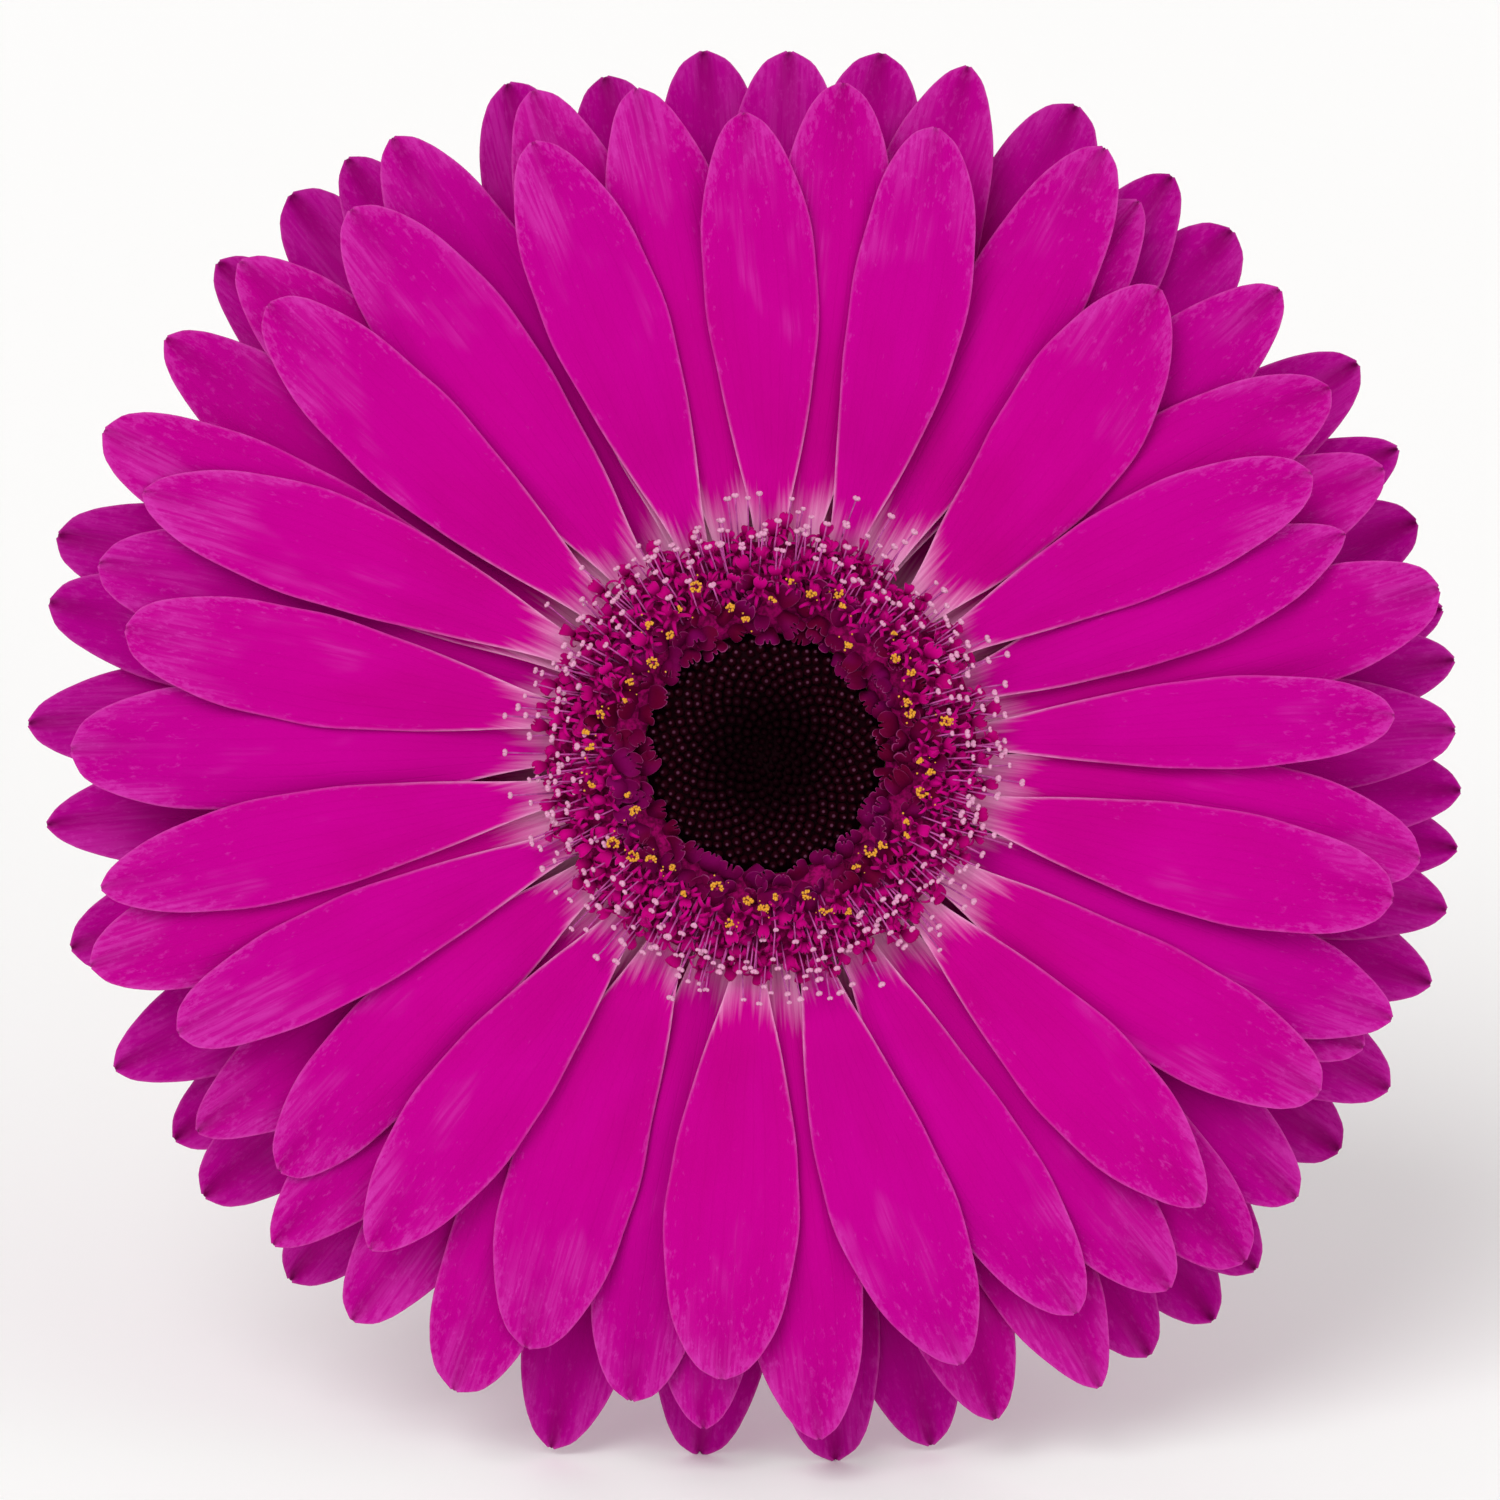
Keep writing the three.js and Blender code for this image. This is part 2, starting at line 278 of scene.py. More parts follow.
# Each petal: tip azimuth, how far its tip stops short of headRadius, how much wider than
# the ordinary width, and how far its root stands from its tip
upperPetals = [
    [137.9, 6.3, -0.3, 1.6], [27.1, 10.6, -1, 3.6], [231.5, 9, -0.2, -1.8],
    [287.7, 8.4, 0.5, -5], [314.1, 9.4, -0.3, 1.2], [49.7, 10.8, 1.6, -7.2],
    [74.7, 7.9, 0, -6], [91.9, 8.5, -0.3, -3.4], [110.8, 7.5, 0.2, -1.8],
    [191.5, 5.7, -1, -1], [248.1, 8.4, 1, -5.8], [266, 9.5, 1.2, -0.3],
    [346.9, 8.2, -0.4, -1.9], [3.4, 9.3, -2, 0.9], [205.5, 7.8, -1.3, -1.2],
    [157.2, 5.9, -0.5, -5.2], [20.7, 10, -1.5, -2.7], [220.7, 8.4, -0.5, -6.2],
    [299, 8.4, -0.5, -4], [328.5, 7.7, -0.3, -2.3], [169, 7.7, -0.4, 1],
]
secondPetals = [
    [13.7, 4.2, 0, -2.7], [60.7, 4.2, 0, -0.7], [83.3, 5.8, 0.2, -2.8],
    [101, 5.6, 0.2, -2], [127.3, 5.1, 0.8, -0.6], [179.7, 4.3, 0.8, -1.2],
    [258.3, 6.7, 0, -2.8], [274.5, 4.7, 0.3, -1.5], [307, 6, 0, -3],
    [337, 5.2, 0.2, -3], [350.8, 6.7, -0.4, 4.5], [32.9, 5.9, 0, 4.1],
    [55.9, 6.2, 0.2, 5.1], [333.8, 6.2, -0.6],
]
thirdPetals = [
    [42, 4.2], [73.5, 2.2, 0.4], [88, 3.2, 0.2], [109.3, 3.6, 0.2],
    [121.2, 2.1, 0.3], [136.9, 2.2], [154, 1.1, 0.2], [197.5, 3.3],
    [225, 4.1, -0.2], [244, 3, 0.3, -4.5], [264.8, 5.3, 0, -4.5], [297.8, 2.3, 0.2],
    [313.3, 3.7], [145.3, 1.4, 0, 2], [164.1, 4.3, 0, -4.5], [213.7, 5],
    [234, 3.5, -0.3], [24.7, 5.1], [289.1, 3.1], [320, 4],
]
outerPetals = [
    [275.7, 2.4], [252.9, 1.1, 0.3, -3.5], [1.9, 4],
    [7.7, 3.5], [19.5, 3.7, 0.2], [33.3, 2.2, 0.3], [54.8, 2.8, 0.2],
    [80.5, 2.5, 0.4], [103.3, 3.7, 0.2], [125.1, 1.2], [138.1, 0.4, 0.2],
    [168.1, 0.8], [185.7, 1.6, 0.2], [205.9, 1.5, 0.3], [218.3, 2],
    [264.7, 2.7, 0.4], [302.5, 2.1], [313.5, 2.1, 0.2], [331.7, 2.6],
    [347, 3.3, 0.2], [356.9, 3.3],
    [12, 3.5, -0.3], [25.7, 2.6], [48.2, 3.1, 0.2], [64.3, 1.7, 0.3],
    [95, 2.8, 0.4], [111, 1.8, 0, 5], [130.3, 0.5, 0, 2], [162.9, 0, 0.2, -4],
    [177.7, 0.2, 0.2, -3.5], [195.7, 1.5, 0.2], [213.2, 2.6], [228, 2.3, 0.2],
    [283.5, 2.2, 0.3], [308.3, 1.2], [325.3, 3.2, 0.2], [340.9, 2.8],
    [352.1, 3],
]


def planPetal(number, tip, short, wider=0, rootTurn=0):
    return {
        "number": number, "layer": 0,
        "tip": math.radians(tip), "root": math.radians(tip + rootTurn),
        "reach": petalPlan["headRadius"] - short, "width": petalPlan["width"] + wider,
    }


# The outline that the frame's petals have, for the same stacking
frameOutline = np.array([
    [0, 0], [0.16, 0.1], [0.3, 0.45], [0.45, 0.78], [0.62, 1],
    [0.78, 0.93], [0.9, 0.64], [0.97, 0.34], [1, 0.07],
])


def spreadWidth(petal, share, w):
    # a petal's half width: a narrow claw that hands over to the blade
    return (petalPlan["rootWidth"] * (1 - w) * (1 - share) + petal["width"] * w) / 2


def azimuthAt(petal, share):
    return petal["root"] + (petal["tip"] - petal["root"]) * share ** petalPlan["bend"]


def cross(a, b):
    # whether two petals cover each other anywhere, seen from the front
    r = np.arange(petalPlan["rootRadius"], min(a["reach"], b["reach"]), 1.0)
    halves, turns = [], []
    for petal in (a, b):
        share = (r - petalPlan["rootRadius"]) / (petal["reach"] - petalPlan["rootRadius"])
        w = np.interp(share, frameOutline[:, 0], frameOutline[:, 1])
        halves.append(spreadWidth(petal, share, w))
        turns.append(azimuthAt(petal, share))
    turn = np.abs((turns[0] - turns[1] + math.pi) % (2 * math.pi) - math.pi)
    return bool(np.any(turn * r < halves[0] + halves[1] + clearance))


def stackPetals(row, placed, firstLayer):
    # each petal goes one layer under the lowest petal before it that it crosses
    for petal in row:
        above = [q["layer"] + 1 for q in placed if cross(petal, q)]
        petal["layer"] = max([firstLayer] + above)
        placed.append(petal)


def layerHeight(layer, radius):
    # how far out of the face a layer stands at a radius
    plan = petalPlan
    out = (radius - plan["rootRadius"]) / (plan["headRadius"] - plan["rootRadius"])
    return (-plan["layerPitch"] * layer + (plan["lift"] - plan["fan"] * layer) * out
            - plan["arch"] * out**3)


rowsAlong, rowsAcross = 46, 17
petalFaces = sheetFaces(rowsAlong, rowsAcross)


def petalSurface(petal, draw):
    life = petalLife
    roll = draw.uniform(-1, 1) * life["roll"]
    phase = draw.uniform(0, 2 * math.pi)
    wave = draw.uniform(0.3, 1) * life["wave"]
    outer = 0.5 + 0.08 * petal["layer"]   # lower petals curl more
    curl = life["tipCurl"] * draw.uniform(0.2, 1.0) * outer
    fold = life["tipFold"] * draw.uniform(0.1, 1.0) * outer
    furrow = life["furrow"] * draw.uniform(0.6, 1.4)
    lean = draw.uniform(-0.25, 0.25)
    notch = life["notch"] * draw.uniform(0.2, 1.0)
    share = (1 - (1 - np.linspace(0, 1, rowsAlong)) ** 1.5)[:, None]
    side = np.sin(np.linspace(-1, 1, rowsAcross) * math.pi / 2)[None, :]
    clawRise = rise(share, 0.03, 0.14) * (1 - rise(share, 0.28, 0.5))
    bluntness = draw.uniform(-0.15, 0.8)
    tip = (1 - bluntness) * np.array(pointedTip) + bluntness * np.array(bluntTip)
    outline = smoothThrough(petalBlade + tip.tolist(), share)
    outline = outline + life["lowerClaw"] * min(1, petal["layer"] / 3) * clawRise
    half = spreadWidth(petal, share, outline)
    length = petal["reach"] - petalPlan["rootRadius"]
    # two shallow notches beside a blunt middle tooth
    notches = np.exp(-((np.abs(side + lean * 0.3) - 0.5) / 0.22) ** 2)
    radius = petalPlan["rootRadius"] + share * length - notch * notches * rise(share, 0.955, 1.0)
    azimuth = azimuthAt(petal, share)
    ruffle = 1 + 0.012 * np.sin(share * 31 + phase) * rise(share, 0.3, 0.6)
    across = side * half * ruffle
    x = radius * np.cos(azimuth) - across * np.sin(azimuth)
    y = radius * np.sin(azimuth) + across * np.cos(azimuth)
    blade = half / (petal["width"] / 2)
    z = layerHeight(petal["layer"], np.hypot(x, y))
    z = z - life["camber"] * blade * side**2 - furrow * blade * np.cos(3 * math.pi * side)
    z = z + fold * rise(share, 0.66, 1.0) * np.abs(side) ** 1.3 * blade * 2
    z = z - life["tipCrease"] * outer * np.exp(-(side / 0.35) ** 2) * rise(share, 0.78, 1.0)
    z = z - curl * rise(share, 0.76, 1.02) ** 1.5
    z = z + wave * np.sin(share * 5.2 + phase) * rise(share, 0.12, 0.5) + across * roll * share
    z = z + (life["edgeRuffle"] * np.sin(share * 19 + 2 * phase) * np.abs(side) ** 3
             * rise(share, 0.3, 0.6))
    # the claw is a channel: its edges stand forward of its middle
    z = z + life["channel"] * (1 - rise(share, 0.1, 0.4)) * (side**2 - 0.5) * half
    thick = life["thickness"] * (1 - 0.55 * side**4) * (1 - 0.3 * rise(share, 0.5, 1))
    sheets = [np.stack([x, y, z + part * thick / 2], -1).reshape(-1, 3) for part in (1, -1)]
    numbers = onBothFaces(
        x.shape, along=share, side=side, tone=draw.random(), depth=petal["layer"] / 10,
        edge=np.minimum((1 - np.abs(side)) * half, (1 - share) * length))
    numbers["behind"] = np.repeat([0.0, 1.0], x.size)
    # the tissue's patterns run along the blade, and start elsewhere on each petal
    grain = np.stack(np.broadcast_arrays(across + petal["number"] * 23.7, share * length,
                                         petal["number"] * 3.1), -1)
    return np.concatenate(sheets), numbers, {"grain": np.tile(grain.reshape(-1, 3), (2, 1))}


# What a florist would change about the petals' colour; sizes in mm
petalLook = {
    "deep": "#B2007A", "face": "#BA0086", "purple": "#B2008E", "vein": "#A0006A",
    "scuff": "#CE42B0", "rim": "#D05CAC", "rimLow": "#E2A4CC",
    "claw": "#F8A4D6", "clawDeep": "#EEAED4", "paintedFill": "#CC0092", "shade": "#8E0078",
    "point": "#7C0052",
    "behind": "#B2308F", "behindPale": "#BE52A4", "behindVein": "#8A1A70", "behindClaw": "#CDBBA6",
    "veinSpacing": 0.9,
    "scuffSize": (0.4, 1.0),
    "crumbSize": (0.17, 0.32),
    "streakSize": (0.28, 6.0),
    "patchSize": (3.5, 9.0),
}


def petalTissue(look):
    # Ray floret tissue, a thin living petal with velvety papillae grown on its face: deeply
    # coloured and hardly glossy, and pale where it thins out at its rim, tip and claw
    material, shader, add, along, side, edge, behind, tone, depth = newMaterial(
        "ray floret tissue, velvety papillate face", {
            "IOR": 1.4, "Specular IOR Level": 0.02, "Sheen Weight": 0.02, "Sheen Roughness": 0.5,
            "Sheen Tint": "#E040B8",
        }, ("along", "side", "edge", "behind", "tone", "depth"))
    grain = add(("ShaderNodeAttribute", {"attribute_name": "grain"}), out="Vector")
    fields = {}
    for name, detail, rough in (("scuffSize", 5, 0.65), ("crumbSize", 3, 0.7),
                                ("streakSize", 2, 0.5), ("patchSize", 2, 0.5)):
        width, length = look[name]
        place = add(stretch, [grain, (1 / width, 1 / length, 1.0)])
        fields[name] = add(noise, [place, 1.0, detail, rough])
    scuffs, crumbs, streaks, patches = fields.values()
    turns = add(times, [side, math.pi * petalPlan["width"] / 2 / look["veinSpacing"]])
    ridge = add(positive, [add(sine, [add(timesPlus, [patches, 3.0, turns])])])
    ridge = add(timesPlus, [streaks, 0.7, ridge])
    furrows = add(ramp, [ridge, 0.25, 0.8, 1.0, 0.0])

    # deep and warm in the lower middle, purpler outwards
    outward = add(ramp, [along, 0.25, 0.75, 0.0, 0.4])
    ground = add(ramp, [add(plus, [patches, outward]), 0.35, 0.95])
    colour = add(blend, [ground, look["deep"], look["face"]])
    # painted light: the first layer brightens the petals near their claws, where the florets shade
    # them; then veins and a random purple tone
    layers = [(add(ramp, [along, 0.12, 0.36, 1.0, 0.0]), look["paintedFill"]),
              (add(times, [furrows, 0.1]), look["vein"]), (add(times, [tone, 0.3]), look["purple"])]

    # painted shade: lower petals turn duller, darker and more purple towards their tips
    shade = add(ramp, [along, 0.5, 1.0, 0.0, 0.55])
    low = add(straightRamp, [depth, 0.0, 0.8, 0.3, 1.0])
    layers.append((add(times, [shade, low]), look["shade"]))

    # scuffs gather towards the tip and along the rim, most of all on the upper petals
    fine = add(times, [crumbs, 0.38])
    field = add(plus, [scuffs, fine])
    for gathers in ([along, 0.6, 1.0, 0.0, 0.16], [edge, 0.15, 1.3, 0.13, 0.0],
                    [along, 0.15, 0.45, -0.15, 0.0]):
        field = add(plus, [field, add(ramp, gathers)])
    exposed = add(straightRamp, [depth, 0.0, 0.8, 1.0, 0.45])
    worn = add(ramp, [field, 0.84, 1.06, 0.0, 0.36])
    layers.append((add(times, [worn, exposed]), look["scuff"]))

    # pale hatching runs with the veins in patches, more of it outwards
    patch = add(ramp, [add(timesPlus, [along, 0.6, patches]), 0.96, 1.22])
    hatch = add(times, [add(ramp, [streaks, 0.4, 0.64, 0.08, 0.4]), patch])
    layers.append((add(times, [hatch, exposed]), look["scuff"]))

    # the rim is a pale line about a fifth of a millimetre wide
    rim = add(ramp, [add(timesPlus, [streaks, 0.16, edge]), 0.04, 0.34, 0.72, 0.0])
    for thins in ([along, 0.18, 0.45, 1.0, 0.45], [scuffs, 0.3, 0.6, 0.55, 1.0]):
        rim = add(times, [rim, add(ramp, thins)])
    line = add(blend, [add(ramp, [along, 0.2, 0.55]), look["rimLow"], look["rim"]])
    layers.append((rim, line))

    # painted shade: a darker line runs along the crease into the point of the tip, more on the
    # lower petals
    offMiddle = add(positive, [side])
    crease = add(ramp, [offMiddle, 0.0, 0.5, 1.0, 0.0])
    crease = add(times, [crease, add(ramp, [along, 0.8, 1.0, 0.0, 0.6])])
    layers.append((add(times, [crease, low]), look["point"]))

    # the claw fades to a pale pink in streaks, first along its edges
    fade = add(plus, [along, add(timesPlus, [streaks, 0.13, -0.065])])
    fade = add(minus, [fade, add(times, [offMiddle, 0.06])])
    fade = add(timesPlus, [tone, 0.07, fade])
    pale = add(blend, [depth, look["claw"], look["clawDeep"]])
    layers.append((add(ramp, [fade, 0.09, 0.255, 1.0, 0.0]), pale))
    for mask, tint in layers:
        colour = add(blend, [mask, colour, tint])

    # the back is duller and paler, and greenish where the claw leaves the cup
    share = add(ramp, [add(timesPlus, [scuffs, 0.35, patches]), 0.45, 0.95])
    back = add(blend, [share, look["behind"], look["behindPale"]])
    for mask, tint in ((add(times, [furrows, 0.22]), "behindVein"),
                       (add(ramp, [offMiddle, 0.02, 0.12, 0.35, 0.0]), "behindPale"),
                       (add(ramp, [fade, 0.04, 0.38, 1.0, 0.0]), "behindClaw")):
        back = add(blend, [mask, back, look[tint]])
    colour = add(blend, [behind, colour, back])
    height = add(timesPlus, [streaks, 0.35, add(timesPlus, [furrows, -0.5, fine])])
    fillSockets(shader, {
        "Base Color": colour, "Roughness": add(ramp, [scuffs, 0.3, 0.7, 0.62, 0.8]),
        "Normal": add(relief, {"Strength": 0.4, "Distance": 0.08 * mm, "Height": height})})
    return material


def makePetals():
    rows = {}
    listed = {"upper": upperPetals, "second": secondPetals, "third": thirdPetals,
              "outer": outerPetals}
    for rowIndex, (rowName, entries) in enumerate(listed.items()):
        rows[rowName] = [planPetal(100 * rowIndex + i + 1, *e) for i, e in enumerate(entries)]
    placed = []
    for rowName in ("upper", "second", "third"):
        stackPetals(rows[rowName], placed, 0)
    stackPetals(rows["outer"], placed, max(p["layer"] for p in placed) + 1)
    tissue = petalTissue(petalLook)
    draw = random.Random(41)
    for rowName, row in rows.items():
        for i, petal in enumerate(row):
            node = "outer_petals" if rowName == "outer" else f"{rowName}_petal_{i + 1:02d}"
            points, numbers, vectors = petalSurface(petal, draw)
            addPiece(f"{rowName}Petal{i + 1:02d}", points, petalFaces, tissue, node,
                     numbers, vectors)
    layers = max(p["layer"] for p in placed) + 1
    print("stage: petals,", len(placed), "in", layers, "layers")


makePetals()


# The eye: closed buds packed in a spiral, smaller towards a hollow middle, with painted shade
# darkening them there
eye = {
    "radius": np.hypot(*headPoints("disc_buds")[:, :2].T).max(),
    "buds": 470,
    "budWidth": 0.8,
    "budHeight": 1.05,
    "middleHeight": 1.7,
    "rimHeight": 3.0,
    "topHeight": 4.0,
    "gritSize": 0.12,
    "husk": "#140107", "skin": "#300413", "tip": "#5C324A",
}


def eyeHeight(share):
    low, top, rim = eye["middleHeight"], eye["topHeight"], eye["rimHeight"]
    return smoothThrough([[0, low], [0.18, low + 0.4], [0.42, 0.6 * top + 0.4 * rim],
                          [0.66, top], [0.84, 0.96 * top], [1, rim]], share)


def budSkin(look):
    # Closed disc buds, waxy skin darkened by anthocyanin, that gives a dull black-purple, with
    # painted shade towards the eye's hollow middle and a paler blunt tip on each painted as a
    # highlight
    material, shader, add, tip, share, tone = newMaterial("closed disc buds, dark waxy skin", {
        "IOR": 1.4, "Specular IOR Level": 0.03, "Roughness": 0.6}, ("tip", "share", "tone"))
    # painted shade: the buds darken towards the eye's hollow middle
    lit = add(ramp, [share, 0.35, 1.0])
    grit = add(noise, [add(coordinates, out="Object"), 1 / (look["gritSize"] * mm), 2.0])
    colour = add(blend, [add(times, [lit, grit]), look["husk"], look["skin"]])
    # painted highlight: a paler tip on each bud, dimmed by the painted shade
    point = add(times, [add(ramp, [tip, 0.86, 1.0]), lit])
    point = add(times, [point, add(ramp, [tone, 0.0, 1.0, 0.25, 1.0])])
    colour = add(blend, [point, colour, look["tip"]])
    bump = add(relief, {"Strength": 0.3, "Distance": 0.05 * mm, "Height": grit})
    fillSockets(shader, {"Base Color": colour, "Normal": bump})
    return material


def makeEye():
    skin = budSkin(eye)
    shares = np.linspace(1, 0.02, 14)
    bedRadius = eye["radius"] + 0.8 * clearance   # closes the seam to the ring of florets
    profile = [[bedRadius, clearance]]
    profile += [[bedRadius * s, eyeHeight(s) - 0.5] for s in shares]
    bed = Batch()
    bed.add(turned(profile, 40), tubeFaces(len(profile), 40), tip=0.0, share=0.0, tone=0.0)
    bed.make("budBed", skin, "eye", "disc_buds")
    draw = random.Random(7)
    buds = Batch()
    heights = np.array([0, 0.4, 0.68, 0.88, 1.0])
    widths = np.array([0.8, 1.0, 0.86, 0.52, 0.2])
    for i in range(eye["buds"]):
        share = math.sqrt((i + 0.5) / eye["buds"]) + draw.uniform(-0.008, 0.008)
        azimuth = i * goldenTurn + draw.uniform(-0.012, 0.012)
        size = draw.uniform(0.9, 1.08) * (0.72 + 0.28 * min(1, share * 1.6))
        slope = (eyeHeight(min(1, share + 0.03)) - eyeHeight(max(0, share - 0.03)))
        lean = -0.5 * slope / (0.06 * eye["radius"])
        axis = polar(lean, azimuth, 1.0)
        axis /= np.linalg.norm(axis)
        foot = polar(eye["radius"] * 0.955 * share, azimuth, eyeHeight(share) - 0.75)
        path = foot + np.outer(heights * eye["budHeight"] * size, axis)
        buds.addTube(path, widths * eye["budWidth"] / 2 * size, 7, share=share,
                     tip=np.repeat([0, 0.2, 0.45, 0.8, 1.0], 7), tone=draw.random())
    buds.make("closedBuds", skin, "eye", "disc_buds")
    print("stage: eye,", eye["buds"], "buds")


makeEye()


# The ring of open florets round the eye
ring = {
    "inner": np.hypot(*headPoints("open_florets")[:, :2].T).min(),
    "outer": np.hypot(*headPoints("open_florets")[:, :2].T).max(),
    "top": headPoints("open_florets")[:, 2].max(),
    "florets": 235,
    "lips": 160,
    "anthers": 48,
    "styles": 400,
    "styleWidth": 0.13,
    "stigmaSize": 0.34,
    "speckleSize": 1.1,
    "blotchSize": 3.8,
    "bed": "#6C003E", "lobe": "#BE007A", "lobeEdge": "#CC54A6", "lobeDeep": "#A80066",
    "lip": "#5C0028", "lipSheen": "#70024E", "lipEdge": "#A4447E",
    "style": "#C052A2", "styleDeep": "#A03A84", "stigma": "#DCA0C2", "stigmaDeep": "#CC86AC",
    "anther": "#560434",
    "pollen": "#D68E2C", "pollenLight": "#E4AA3E",
}


def bedHeight(radius):
    # the ring's floor, a little lower than its crown
    share = (radius - ring["inner"]) / (ring["outer"] - ring["inner"])
    low, top = 0.3, ring["top"]
    return smoothThrough([[0, low + 0.5 * top], [0.15, 0.7 * top], [0.45, 0.72 * top],
                          [0.75, 0.58 * top], [1, 0.4 * top]], share)


def corollaSkin(look):
    # Disc floret corollas, thin crisp petal tissue, that look deep wine red, with a painted purple
    # sheen in patches on the inner lips, painted shade towards each floret's foot, and a thin pale
    # painted highlight along each lobe's rim
    material, shader, add, rim, reach, tone, kind = newMaterial(
        "disc floret corolla, crisp and velvety", {
            "IOR": 1.4, "Specular IOR Level": 0.03, "Roughness": 0.6, "Sheen Weight": 0.03,
            "Sheen Tint": "#D040C0"}, ("rim", "reach", "tone", "kind"))
    place = add(coordinates, out="Object")
    speckle = add(noise, [place, 1 / (look["speckleSize"] * mm), 3.0])
    blotch = add(noise, [place, 1 / (look["blotchSize"] * mm), 2.0])
    outerTone = add(blend, [tone, look["lobeDeep"], look["lobe"]])
    # painted sheen: purple patches on the inner lips
    innerTone = add(blend, [add(ramp, [blotch, 0.35, 0.68]), look["lip"], look["lipSheen"]])
    colour = add(blend, [kind, outerTone, innerTone])
    # painted shade: each corolla darkens to the bed's colour towards its foot, where the florets
    # crowd together
    colour = add(blend, [add(ramp, [reach, 0.1, 0.75, 0.6, 0.0]), colour, look["bed"]])
    # painted highlight: a thin paler line along each lobe's rim
    line = add(ramp, [add(timesPlus, [speckle, 0.25, rim]), 1.02, 1.14, 0.0, 0.7])
    edgeTone = add(blend, [kind, look["lobeEdge"], look["lipEdge"]])
    colour = add(blend, [line, colour, edgeTone])
    bump = add(relief, {"Strength": 0.35, "Distance": 0.06 * mm, "Height": speckle})
    fillSockets(shader, {"Base Color": colour, "Normal": bump})
    return material


def simpleSkin(name, low, high, roughness, specular, grain, depth):
    # a finely mottled plant skin between two tones; grain is the size of one mottle in mm
    material, shader, add = newMaterial(name, {
        "IOR": 1.4, "Specular IOR Level": specular, "Roughness": roughness})
    mottle = add(noise, [add(coordinates, out="Object"), 1 / (grain * mm), 3.0, 0.6])
    colour = add(blend, [add(ramp, [mottle, 0.35, 0.65]), low, high])
    bump = add(relief, {"Strength": 0.4, "Distance": depth * mm, "Height": mottle})
    fillSockets(shader, {"Base Color": colour, "Normal": bump})
    return material


up = np.array([0, 0, 1.0])   # out of the face


def turnedTo(a, b, angle):
    # the direction that leaves a towards b by an angle
    return math.cos(angle) * a + math.sin(angle) * b


def curlPath(start, axis, out, length, firstTurn, lastTurn, steps):
    # a path that leaves along the axis and bends over towards out
    turn = np.linspace(firstTurn, lastTurn, steps)
    ahead = np.outer(np.cos(turn), axis) + np.outer(np.sin(turn), out)
    gone = np.cumsum(ahead, axis=0) - ahead
    return start + gone * length / (steps - 1), ahead


def addRibbon(batch, path, halves, flat, wide, **numbers):
    sides = 6
    points = tubePoints(path, halves, sides, flat, wide)
    rim = np.tile(np.abs(np.cos(np.arange(sides) * 2 * math.pi / sides)), len(path))
    reach = np.repeat(np.linspace(0, 1, len(path)), sides)
    rim = np.maximum(rim, np.where(reach > 0.97, 1, 0))
    batch.add(points, tubeFaces(len(path), sides), rim=rim, reach=reach, **numbers)


def addLip(batch, foot, axis, out, size, turns, cupping, notch, rowsLong, tone, kind):
    # a broad lip with three rounded lobes, which leaves along the axis and arches over to out
    width, length = size
    path, ahead = curlPath(foot, axis, out, length, turns[0], turns[1], rowsLong)
    sideways = np.cross(axis, out)
    facing = np.cross(ahead, sideways)
    lipColumns = rowsLong + 4
    share = np.linspace(0, 1, rowsLong)[:, None]
    side = np.linspace(-1, 1, lipColumns)[None, :]
    half = width / 2 * smoothThrough([[0, 0.3], [0.25, 0.6], [0.55, 0.95], [0.78, 1.0],
                                      [0.92, 0.82], [1, 0.55]], share)
    slits = np.exp(-((np.abs(side) - 0.36) / 0.13) ** 2)
    cut = notch * slits * rise(share, 0.55, 1.0)
    bend = cupping * side**2 * half * rise(share, 0.1, 0.6)
    grid = (path[:, None, :] + (side * half)[..., None] * sideways
            - cut[..., None] * ahead[:, None, :] + bend[..., None] * facing[:, None, :])
    thick = 0.09
    sheets = [(grid + part * thick / 2 * facing[:, None, :]).reshape(-1, 3) for part in (1, -1)]
    batch.add(np.concatenate(sheets), sheetFaces(rowsLong, lipColumns), **onBothFaces(
        (rowsLong, lipColumns), rim=np.maximum(np.abs(side) ** 4, share**10),
        reach=share, tone=tone, kind=kind))


def makeBed():
    inner, outer = ring["inner"], ring["outer"]
    radii = np.linspace(outer - 0.3, inner, 12)
    back = [[inner, 0.6], [11, 0.6], [outer - 0.3, 1.75]]
    profile = back + [[r, bedHeight(r)] for r in radii]
    bed = Batch()
    faces = gridFaces(len(profile), 72, closed=True)
    last = (len(profile) - 1) * 72
    faces += [(last + c, last + (c + 1) % 72, (c + 1) % 72, c) for c in range(72)]
    bed.add(turned(profile, 72), faces)
    return bed


